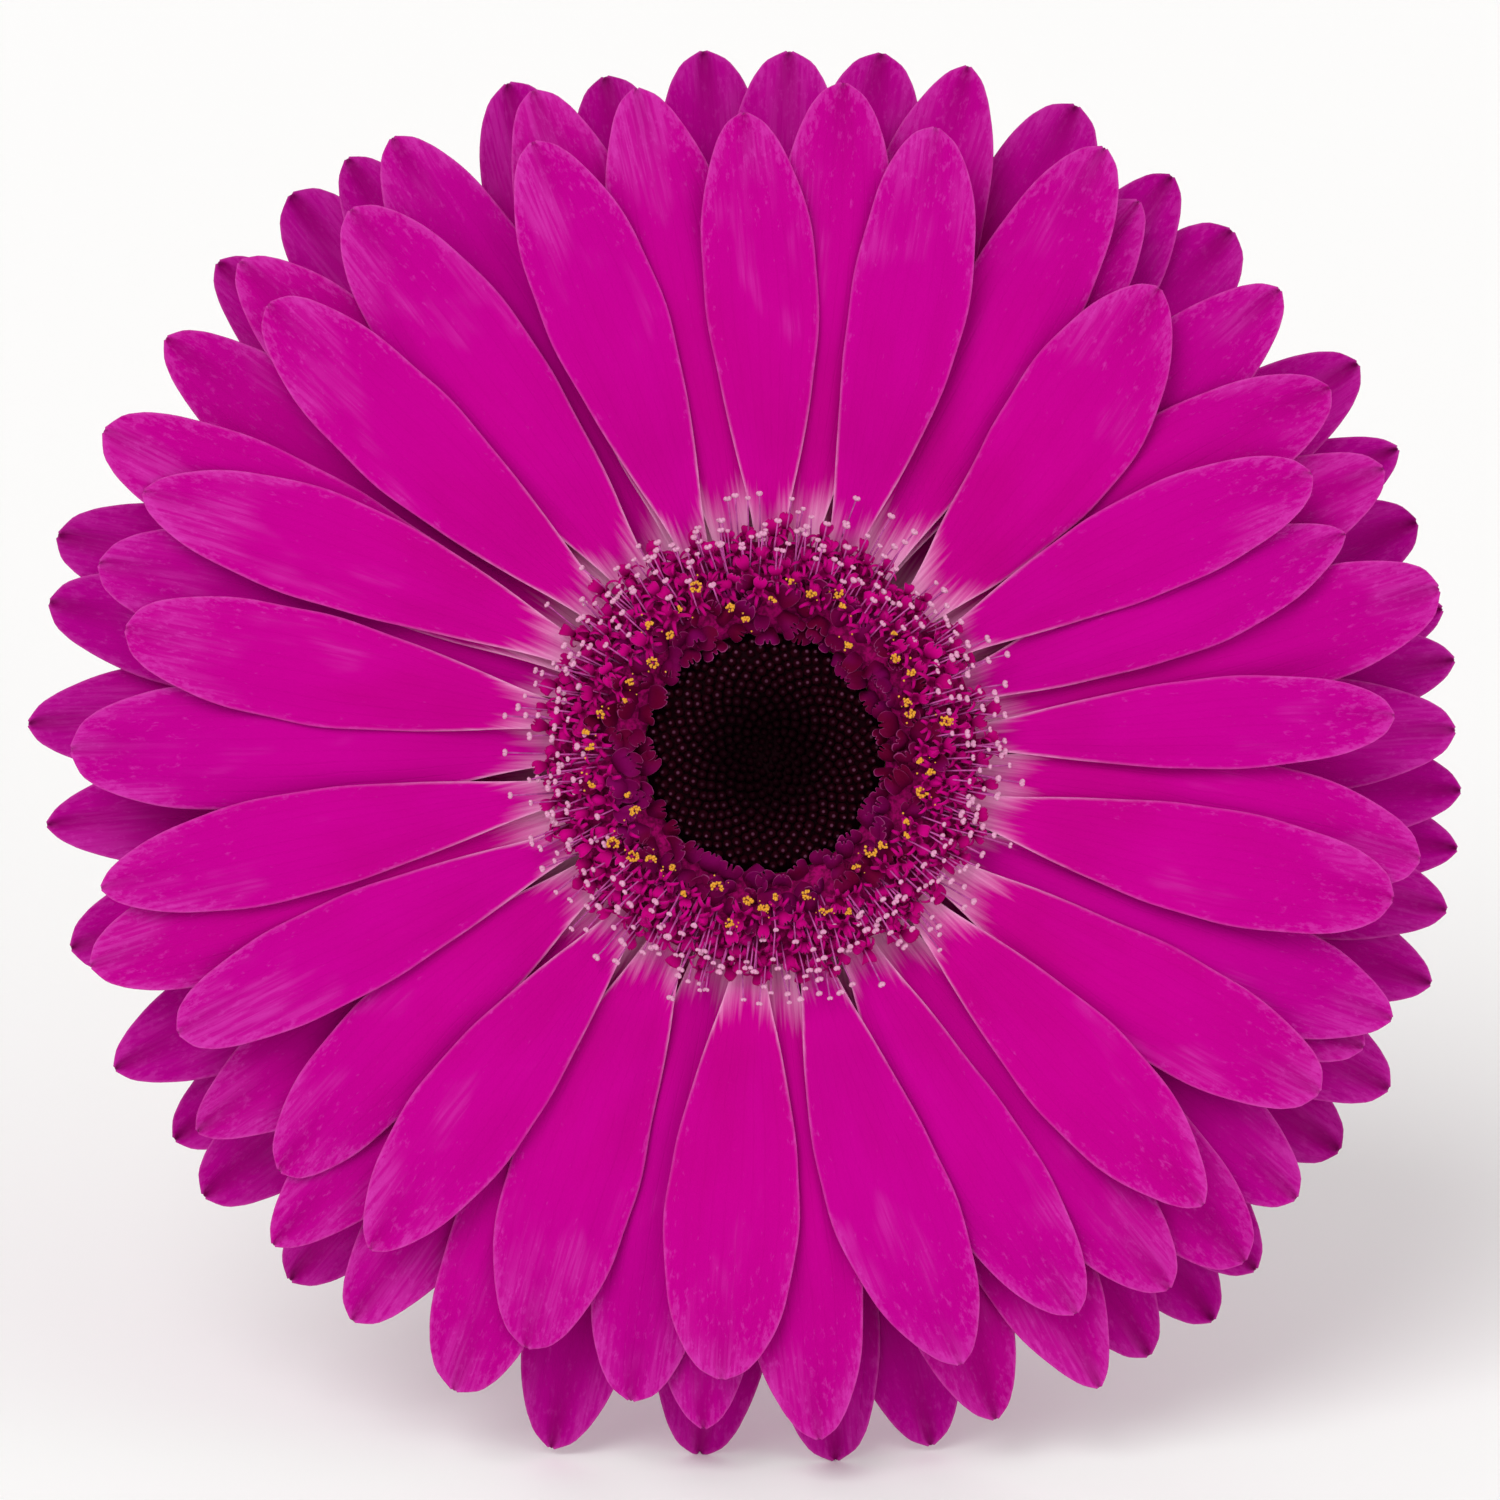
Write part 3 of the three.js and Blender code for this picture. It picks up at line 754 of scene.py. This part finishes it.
def growFlorets(draw):
    # open florets in a spiral, each a tube with one broad lip and three curled lobes
    florets, lobes = Batch(), Batch()
    low, high = 11.8, ring["outer"] - 0.45
    for i in range(ring["florets"]):
        share = (i + 0.5) / ring["florets"]
        radius = math.sqrt(low**2 + share * (high**2 - low**2)) + draw.uniform(-0.15, 0.15)
        azimuth = i * goldenTurn + draw.uniform(-0.03, 0.03)
        radial = polar(1.0, azimuth, 0.0)
        sideways = np.array([-radial[1], radial[0], 0.0])
        lean = 0.15 + 0.75 * share + draw.uniform(-0.12, 0.12)
        axis = turnedTo(up, radial, lean)
        size = draw.uniform(0.85, 1.12)
        height = draw.uniform(1.3, 1.8)
        foot = radial * radius + np.array([0, 0, bedHeight(radius) - 0.4])
        along = np.array([0, 0.35, 0.7, 0.9, 1.0, 0.94, 0.7])
        widths = np.array([0.24, 0.27, 0.33, 0.42, 0.47, 0.36, 0.2]) * size
        path = foot + np.outer(along * height, axis)
        turn = np.arange(9) * 2 * math.pi / 9
        a = np.cross(axis, sideways)
        circle = np.outer(np.cos(turn), sideways) + np.outer(np.sin(turn), a)
        rings = (path[:, None, :] + widths[:, None, None] * circle[None]).reshape(-1, 3)
        tone = draw.random()
        florets.add(rings, tubeFaces(7, 9), rim=np.repeat([0, 0, 0, 0.2, 0.98, 0.3, 0], 9),
                    reach=np.repeat([0, 0.2, 0.5, 0.8, 1, 0.5, 0], 9), tone=tone, kind=0.0)
        mouth = foot + axis * height
        upright = np.cross(sideways, axis)   # across the tube, away from the head's middle
        upright *= 1 if upright @ radial > 0 else -1
        spin = draw.uniform(-0.6, 0.6)
        out = turnedTo(upright, sideways, spin)
        addLip(lobes, mouth + out * 0.25 * size - axis * 0.25, axis, out,
               (draw.uniform(0.8, 1.3) * size, draw.uniform(1.0, 1.6) * size),
               (0.1, draw.uniform(1.3, 2.7)), draw.uniform(-0.9, 0.6),
               draw.uniform(0.2, 0.5), 8, tone, 0.0)
        for spin in (2.2, -2.2, draw.uniform(2.8, 3.4)):
            spin += draw.uniform(-0.4, 0.4)
            out = turnedTo(upright, sideways, spin)
            path, _ = curlPath(mouth + out * 0.34 * size - axis * 0.1, axis, out,
                               draw.uniform(1.3, 1.9) * size, 0.1, draw.uniform(3.2, 5.4), 10)
            halves = 0.13 * size * np.array([1, 1.1, 1.2, 1.2, 1.1, 1, 0.9, 0.8, 0.65, 0.35])
            addRibbon(florets, path, halves, 0.4, np.cross(axis, out),
                      tone=min(1, tone + 0.3), kind=0.0)
    return florets, lobes


def growLips(draw):
    # broad lips in four rows, the first of them leaning over the eye
    lips = Batch()
    for i in range(ring["lips"]):
        row = i % 4
        azimuth = (i + draw.uniform(-0.9, 0.9)) * 2 * math.pi / ring["lips"]
        radius = (9.8, 10.5, 11.4, 12.4)[row] + draw.uniform(-0.35, 0.4)
        inward = row == 0 or draw.random() < 0.45
        heading = azimuth + (math.pi if inward else 0) + draw.gauss(0, 0.6)
        out = polar(1.0, heading, 0.0)
        foot = polar(radius, azimuth, bedHeight(radius) - 0.5 + draw.uniform(-0.2, 0.4))
        addLip(lips, foot, up, out, (draw.uniform(1.2, 2.1), draw.uniform(1.9, 2.9)),
               (draw.uniform(-0.3, 0.2), draw.uniform(0.9, 2.0)), draw.uniform(-1.1, 0.5),
               draw.uniform(0.25, 0.7), 11, draw.random(), 1.0)
    return lips


def growAnthers(draw):
    # anther tubes stand among the inner lips, with pollen pushed out at their tops
    anthers, pollen = Batch(), Batch()
    gold = (1 + math.sqrt(5)) / 2
    ico = np.array([np.roll([x, y * gold, 0], k) for k in range(3) for y in (1, -1)
                    for x in (-1, 1)]) / math.sqrt(1 + gold**2)
    icoFaces = [(0, 11, 5), (0, 5, 1), (0, 1, 7), (0, 7, 10), (0, 10, 11), (1, 5, 9),
                (5, 11, 4), (11, 10, 2), (10, 7, 6), (7, 1, 8), (3, 9, 4), (3, 4, 2),
                (3, 2, 6), (3, 6, 8), (3, 8, 9), (4, 9, 5), (2, 4, 11), (6, 2, 10),
                (8, 6, 7), (9, 8, 1)]
    for i in range(ring["anthers"]):
        azimuth = (i + draw.uniform(-0.4, 0.4)) * 2 * math.pi / ring["anthers"]
        radius = draw.uniform(10.3, 13.4)
        lean = draw.uniform(-0.1, 0.35)
        radial = polar(1.0, azimuth, 0.0)
        axis = turnedTo(up, radial, lean)
        foot = polar(radius, azimuth, bedHeight(radius) - 0.2)
        tall = draw.uniform(1.9, 2.4)
        path = foot + np.outer(np.array([0, 0.5, 0.9, 1.0]) * tall, axis)
        anthers.addTube(path, [0.2, 0.26, 0.24, 0.14], 8)
        top = path[-1]
        bend = draw.uniform(0.2, 0.42)
        sweep = draw.uniform(1.5, 6.0)
        spin = draw.uniform(0, 6.28)
        squash = draw.uniform(0.45, 1.0)
        count = int(8 + sweep * bend * 11)
        for j in range(count):
            turn = spin + sweep * j / count
            local = np.array([math.cos(turn) * bend, math.sin(turn) * bend * squash, 0.1])
            jitter = np.array([draw.gauss(0, 0.07) for _ in range(3)])
            grains = ico * draw.uniform(0.075, 0.14)
            pollen.add(top + local + jitter + grains * [1, 1, 0.8], icoFaces)
        for j in range(draw.randint(0, 3)):
            jitter = np.array([draw.uniform(-1.0, 1.0), draw.uniform(-1.0, 1.0), -0.1])
            pollen.add(top + jitter + ico * draw.uniform(0.05, 0.1), icoFaces)
    return anthers, pollen


def growStyles(draw):
    # styles reach out over the claws, each ending in a two-lobed stigma
    styles, stigmas = Batch(), Batch()
    for i in range(ring["styles"]):
        azimuth = (i + draw.uniform(-0.5, 0.5)) * 2 * math.pi / ring["styles"] * 7 % (2 * math.pi)
        end = draw.triangular(12.8, 20.6, 16.4)
        start = max(11.4, min(end - draw.uniform(1.6, 3.6), ring["outer"] - 0.6))
        turn = draw.uniform(-0.03, 0.03)
        height = 5.1 - 2.1 * (end - 13.2) / 7.2 + draw.uniform(-0.3, 0.6)
        low = bedHeight(start) - 0.2
        share = np.linspace(0, 1, 7)
        radius = start + (end - start) * share**1.2
        rising = low + (height - low) * np.sin(share * math.pi / 2) ** 0.8
        path = polar(radius, azimuth + turn * share, rising)
        styles.addTube(path, np.full(7, ring["styleWidth"] / 2), 5)
        ahead = path[-1] - path[-2]
        ahead /= np.linalg.norm(ahead)
        sideways = np.cross(ahead, up)
        sideways /= np.linalg.norm(sideways)
        size = ring["stigmaSize"] * draw.uniform(0.8, 1.2)
        spread = draw.uniform(0.4, 0.9)
        for part in (1, -1):
            out = turnedTo(ahead, part * sideways, spread)
            steps = np.array([-0.15, 0.15, 0.5, 0.8, 0.95]) * size
            lobe = path[-1] + np.outer(steps, out)
            stigmas.addTube(lobe, np.array([0.2, 0.4, 0.52, 0.42, 0.18]) * size, 6)
    return styles, stigmas


def makeFlorets():
    draw = random.Random(19)
    corolla = corollaSkin(ring)
    skins = [
        # the floret bed is dark partly as painted shade in the gaps between the florets
        simpleSkin("floret bases, matt and dark", ring["bed"], ring["lobeDeep"],
                   roughness=0.8, specular=0.1, grain=0.4, depth=0.1),
        corolla, corolla, corolla,
        simpleSkin("anther tubes, glazed plum skin", ring["anther"], ring["lobeDeep"],
                   roughness=0.5, specular=0.2, grain=0.2, depth=0.03),
        simpleSkin("fresh pollen, sticky matt grains", ring["pollen"], ring["pollenLight"],
                   roughness=0.85, specular=0.1, grain=0.12, depth=0.08),
        simpleSkin("style, thin smooth stalk", ring["styleDeep"], ring["style"],
                   roughness=0.5, specular=0.2, grain=0.5, depth=0.02),
        simpleSkin("stigma, moist pale papillae", ring["stigmaDeep"], ring["stigma"],
                   roughness=0.6, specular=0.2, grain=0.15, depth=0.05),
    ]
    names = ("floretBed", "openFlorets", "floretLobes", "innerLips", "antherTubes", "pollen",
             "styles", "stigmas")
    batches = [makeBed(), *growFlorets(draw), growLips(draw), *growAnthers(draw),
               *growStyles(draw)]
    for name, batch, skin in zip(names, batches, skins):
        batch.make(name, skin, "florets", "open_florets")
    print("stage: florets,", ring["florets"], "open and", ring["styles"], "styles")


makeFlorets()


# The green cup behind the petals and the bracts laid over it
cupMesh = headPoints("bract_cup")
cupSpread = np.hypot(cupMesh[:, 0], cupMesh[:, 1])
cup = {
    "radius": cupSpread.max(),
    "foot": cupMesh[:, 2].min(),
    "top": cupMesh[cupSpread > 0.98 * cupSpread.max(), 2].max(),
    "neck": 3.3,
    "series": [   # bracts, where they start and end along the cup's side, width, stand-off
        (19, 0.42, 1.0, 3.4, 0.2), (17, 0.2, 0.8, 3.6, 0.55), (13, 0.06, 0.52, 3.2, 0.9),
    ],
    "green": "#5F7F35", "pale": "#8FA85A", "edge": "#4A5E2A", "tip": "#7A3A3E",
    "mottleSize": 1.4286,
    "veinTurn": 14,   # radians of vein pattern from a bract's middle to its side
    "hairs": 1300,
}
# the cup's side as [radius, height] in shares, from its neck out past the rim
cupLine = [[0, 0], [0.12, 0.03], [0.34, 0.12], [0.62, 0.27], [0.82, 0.46], [0.93, 0.64],
           [0.99, 0.82], [1.02, 0.93], [1.09, 0.975], [1.2, 0.985]]


def cupAt(share):
    # radius and height on the cup's side, at a share of the way along it
    line = np.array(cupLine)
    reach = np.concatenate([[0], np.cumsum(np.hypot(*np.diff(line * [12, 15], axis=0).T))])
    reach /= reach[-1]
    r = smoothThrough(np.stack([reach, line[:, 0]], -1), share)
    z = smoothThrough(np.stack([reach, line[:, 1]], -1), share)
    radius = cup["neck"] + r * (cup["radius"] - cup["neck"])
    return radius, cup["foot"] + z * (cup["top"] - cup["foot"])


def bractSkin(look):
    # Bracts, leafy green skin with close hairs, so matt and a little grey, with lengthwise
    # veins and a wine red tip
    material, shader, add, along, side, tone = newMaterial("bract, matt downy leaf skin", {
        "IOR": 1.4, "Specular IOR Level": 0.2, "Roughness": 0.7, "Sheen Weight": 0.15,
        "Sheen Tint": "#E8F0D0"}, ("along", "side", "tone"))
    mottle = add(noise, [add(coordinates, out="Object"), 1 / (look["mottleSize"] * mm), 3.0])
    share = add(ramp, [add(timesPlus, [tone, 0.35, mottle]), 0.4, 1.0])
    colour = add(blend, [share, look["green"], look["pale"]])
    wavy = add(sine, [add(times, [side, look["veinTurn"]])])
    blush = add(timesPlus, [mottle, 0.2, along])
    for mask, low, high, most, tint in (
            (wavy, 0.3, 1.0, 0.25, "pale"), (add(positive, [side]), 0.75, 1.0, 0.6, "edge"),
            (blush, 0.88, 1.08, 0.8, "tip")):
        colour = add(blend, [add(ramp, [mask, low, high, 0.0, most]), colour, look[tint]])
    height = add(timesPlus, [wavy, 0.4, mottle])
    fillSockets(shader, {
        "Base Color": colour,
        "Normal": add(relief, {"Strength": 0.45, "Distance": 0.1 * mm, "Height": height})})
    return material


def makeCup():
    draw = random.Random(23)
    skin = bractSkin(cup)
    radii, heights = cupAt(np.linspace(0, 0.84, 22))
    profile = [[0.6 * cup["neck"], cup["foot"] + 0.4]]
    profile += [[r, z] for r, z in zip(radii, heights)]
    profile += [[cup["radius"] - 1.2, cup["top"] - 0.1], [10.2, cup["top"] - 0.1], [10.2, -0.1],
                [1.0, -0.1]]
    sides = 64
    body = Batch()
    turn = np.tile(np.sin(np.arange(sides) * 2 * math.pi / sides * 16), len(profile))
    body.add(turned(profile, sides), tubeFaces(len(profile), sides), along=0.0,
             side=turn, tone=0.4)
    body.make("cupBody", skin, "bracts", "bract_cup")

    bracts = Batch()
    rowsLong, rowsWide = 20, 9
    faces = [f[::-1] for f in sheetFaces(rowsLong, rowsWide)]   # first sheet lies outside
    for series, (count, first, last, width, stand) in enumerate(cup["series"]):
        for i in range(count):
            azimuth = (i + 0.4 * series + draw.uniform(-0.12, 0.12)) * 2 * math.pi / count
            share = np.linspace(0, 1, rowsLong)[:, None]
            side = np.linspace(-1, 1, rowsWide)[None, :]
            stretched = last + draw.uniform(-0.05, 0.0)
            radius, height = cupAt(first + (stretched - first) * share)
            half = width / 2 * smoothThrough([[0, 0.8], [0.2, 1], [0.5, 0.82], [0.8, 0.42],
                                              [1, 0.04]], share) * draw.uniform(0.9, 1.1)
            keel = 0.22 * (1 - side**2) * (1 - share)
            offset = stand * rise(share, -0.1, 0.25) + keel - 0.12 * side**2
            offset = offset + (0.35 if series else 0.0) * rise(share, 0.75, 1.0) * draw.random()
            azimuths = azimuth + draw.uniform(-0.05, 0.05) * share + side * half / radius
            slopeR = np.gradient(radius[:, 0])[:, None]
            slopeZ = np.gradient(height[:, 0])[:, None]
            norm = np.hypot(slopeR, slopeZ)
            thick = 0.3 * (1 - 0.6 * side**2) * (1 - 0.5 * share)
            sheets = []
            for part in (1, 0):
                out = offset + part * thick
                r = radius + out * slopeZ / norm
                z = height - out * slopeR / norm
                sheets.append(polar(r, azimuths, z).reshape(-1, 3))
            bracts.add(np.concatenate(sheets), faces, **onBothFaces(
                (rowsLong, rowsWide), along=share, side=side, tone=draw.random()))
    bracts.make("bracts", skin, "bracts", "bract_cup")
    print("stage: cup,", sum(s[0] for s in cup["series"]), "bracts")


makeCup()


# The stem, cut on a slant
stemMesh = headPoints("stem")
stemPlan = {
    "top": stemMesh[:, 2].max(),
    "length": 150,
    "neckRadius": 2.7,
    "cutRadius": 3.3,
    "topSwelling": 0.55,
    "sway": 4,
    "slant": 35,
    "slantLength": 12,
    "ribs": 11,
    "ribDepth": 0.07,
    "green": "#73924A", "pale": "#9CB06A", "rib": "#5E7A3A", "blush": "#8A5A40",
    "pith": "#C9CE9E", "pithPale": "#E0E4C4", "hollow": "#5C6434",
    "fibres": (38.0, 22.0, 1.0),   # streaks round half the stem and along all of it
    "hairs": 2600,
    "hairLength": (0.6, 1.3),
    "hair": "#DDE2C0", "hairDeep": "#C8D0A4",
}


def stemCentre(share):
    sway = stemPlan["sway"] * np.sin(math.pi * share) ** 2
    return sway, stemPlan["top"] - stemPlan["length"] * share


def stemRadius(share):
    # thickens towards the cut, and swells where it runs into the cup
    plain = stemPlan["neckRadius"] + (stemPlan["cutRadius"] - stemPlan["neckRadius"]) * share
    return plain + stemPlan["topSwelling"] * (1 - rise(share, -0.005, 0.04))


def stemSkin(look):
    # A flower stalk, smooth green skin over long fibres, that shows fine lengthwise ribs, a
    # blush towards its lower end, and wet pale pith where it was cut
    material, shader, add, along, around, core = newMaterial("flower stalk, ribbed green skin", {
        "IOR": 1.42, "Specular IOR Level": 0.35}, ("along", "around", "core"))
    place = add(stretch, [add(joinAxes, [around, along]), look["fibres"]])
    fibres = add(noise, [place, 1.0, 4.0])
    share = add(ramp, [fibres, 0.35, 0.68])
    colour = add(blend, [share, look["green"], look["pale"]])
    wavy = add(sine, [add(times, [around, 2 * math.pi * look["ribs"]])])
    colour = add(blend, [add(ramp, [wavy, -0.2, -1.0, 0.0, 0.5]), colour, look["rib"]])
    blush = add(ramp, [add(timesPlus, [fibres, 0.4, along]), 0.95, 1.3, 0.0, 0.65])
    colour = add(blend, [blush, colour, look["blush"]])
    flesh = add(blend, [share, look["pith"], look["pithPale"]])
    # the cut shows a ring of darker vessels under the skin
    vessels = add(ramp, [add(positive, [add(minus, [core, 0.5])]), 0.0, 0.05, 0.7, 0.0])
    vessels = add(times, [vessels, add(ramp, [wavy, -0.2, 0.6])])
    flesh = add(blend, [vessels, flesh, look["rib"]])
    colour = add(blend, [add(ramp, [core, 0.1, 0.35]), colour, flesh])
    # painted shade: the sunken hollow in the middle of the cut is coloured dark
    colour = add(blend, [add(ramp, [core, 0.75, 1.0]), colour, look["hollow"]])
    fillSockets(shader, {
        "Base Color": colour, "Roughness": add(ramp, [core, 0.1, 0.5, 0.5, 0.35]),
        "Normal": add(relief, {"Strength": 0.4, "Distance": 0.1 * mm, "Height": fibres})})
    return material


def makeStem():
    plan = stemPlan
    draw = random.Random(5)
    sides, rings = 44, 110
    turn = np.arange(sides) * 2 * math.pi / sides
    slope = math.tan(math.radians(plan["slant"]))
    points, along, around, core = [], [], [], []
    shares = list(np.linspace(-0.006, 1, rings))
    inside = [(0.96, -0.02, 0.15), (0.9, 0.05, 0.5), (0.6, 0.12, 0.55), (0.32, 0.2, 0.6),
              (0.26, 0.7, 0.9), (0.2, 2.4, 1.0)]
    for share, shrink, sunk, mark in ([(s, 1.0, 0.0, 0.0) for s in shares]
                                      + [(1.0, *entry) for entry in inside]):
        sway, height = stemCentre(share)
        ribs = plan["ribDepth"] * np.sin(turn * plan["ribs"] + 2.5 * share)
        lumps = 0.05 * np.sin(share * 37) + 0.04 * np.sin(share * 23 + turn)
        radius = (stemRadius(share) - plan["ribDepth"] + ribs + lumps) * shrink
        x, y = radius * np.cos(turn), radius * np.sin(turn)
        nearCut = max(0.0, 1 - plan["length"] * (1 - share) / plan["slantLength"])
        points.append(np.stack([sway + x, y, height + x * slope * nearCut + sunk], -1))
        along += [share] * sides
        around += list(np.abs(turn / math.pi % 2 - 1))
        core += [mark] * sides
    points = np.concatenate(points)
    faces = [tuple(reversed(f)) for f in tubeFaces(rings + len(inside), sides)]
    numbers = {"along": along, "around": around, "core": core}
    addPiece("cutStem", points, faces, stemSkin(plan), "stem", numbers)

    # fine pale hairs on the stem and the cup
    hairSkin = simpleSkin("plant hairs, fine and clear", plan["hairDeep"], plan["hair"],
                          roughness=0.4, specular=0.3, grain=0.5, depth=0.01)
    stemHairs, cupHairs = Batch(), Batch()

    def addHair(batch, root, out):
        length = draw.uniform(*plan["hairLength"])
        droop = np.array([draw.uniform(-0.4, 0.4) for _ in range(3)])
        steps = np.array([0, 0.55, 1.0])[:, None] * length
        path = root + steps * out + steps**2 * 0.35 * droop
        batch.addTube(path, [0.04, 0.03, 0.01], 3)

    for _ in range(plan["hairs"]):
        share = draw.random() ** 1.3 * 0.985
        angle = draw.uniform(0, 2 * math.pi)
        sway, height = stemCentre(share)
        out = polar(1.0, angle, draw.uniform(-0.2, 0.3))
        root = (np.array([sway, 0, height])
                + out * [1, 1, 0] * (stemRadius(share) - 2 * plan["ribDepth"]))
        addHair(stemHairs, root, out)
    for _ in range(cup["hairs"]):
        share = draw.uniform(0.0, 0.8)
        angle = draw.uniform(0, 2 * math.pi)
        radius, height = cupAt(np.array([share, share + 0.01]))
        slopeR, slopeZ = radius[1] - radius[0], height[1] - height[0]
        norm = math.hypot(slopeR, slopeZ)
        outR, outZ = slopeZ / norm, -slopeR / norm
        out = polar(outR, angle, outZ)
        root = polar(radius[0], angle, height[0]) + out * draw.uniform(0.3, 1.0)
        addHair(cupHairs, root, out)
    stemHairs.make("stemHairs", hairSkin, "stem", "stem")
    cupHairs.make("cupHairs", hairSkin, "bracts", "bract_cup")
    print("stage: stem,", plan["hairs"] + cup["hairs"], "hairs")


makeStem()


studio = {
    "frameWidth": 114.5,      # mm seen across the head
    "lens": 200,
    "aside": (-1.15, 0.23),   # mm that the view's middle stands from the head's
    "floor": "#FBFAFA", "floorMottle": "#F6F6F5",
    "mottles": 9.0,           # across the whole floor
    "roomLight": 0.5, "roomGlow": 0.98,   # overhead, and low down near the horizon
    "suns": [   # name, strength, softness in degrees, where from in the head's frame
        ("key", 1.4, 38, (-0.35, 0.55, 0.8)), ("fill", 0.5, 60, (0.8, 0.25, 0.6)),
        ("back", 0.4, 50, (-0.2, 0.6, -0.8)),
    ],
}


def setStudio():
    scene = bpy.context.scene
    scene.view_settings.view_transform = "Standard"
    camera = bpy.data.objects.new("camera", bpy.data.cameras.new("camera"))
    scene.collection.objects.link(camera)
    camera.data.lens = studio["lens"]
    camera.data.sensor_width = 36
    camera.data.clip_start = 0.01
    distance = studio["frameWidth"] * studio["lens"] / 36
    x, y = studio["aside"]
    place = Matrix.Translation(toWorld @ Vector((x, y, distance)))
    camera.matrix_world = place @ headTurn.to_4x4()
    scene.camera = camera

    bpy.ops.mesh.primitive_plane_add(size=6)
    floor = bpy.context.object
    floor.name = "floor"
    # Matt paper sweep, pressed and uncoated: an even pale ground with the faintest mottle
    material, shader, add = newMaterial("matt paper sweep", {"Roughness": 0.9})
    mottle = add(noise, {"Scale": studio["mottles"], "Detail": 2.0})
    tone = add(blend, [mottle, studio["floor"], studio["floorMottle"]])
    fillSockets(shader, {"Base Color": tone})
    floor.data.materials.append(material)

    world = bpy.data.worlds.new("pale room")
    world.use_nodes = True
    add = partial(addNode, world.node_tree)
    height = add(splitAxes, [add(coordinates)], out="Z")
    glow = add(ramp, [height, 0.2, 0.7, studio["roomGlow"], studio["roomLight"]])
    fillSockets(world.node_tree.nodes["Background"], ["#FFFEFD", glow])
    scene.world = world
    for name, strength, softness, source in studio["suns"]:
        light = bpy.data.objects.new(name, bpy.data.lights.new(name, "SUN"))
        light.data.energy = strength
        light.data.angle = math.radians(softness)
        source = headTurn @ Vector(source)
        light.rotation_euler = source.to_track_quat("Z", "Y").to_euler()
        scene.collection.objects.link(light)
    print("stage: camera, floor and light")


setStudio()
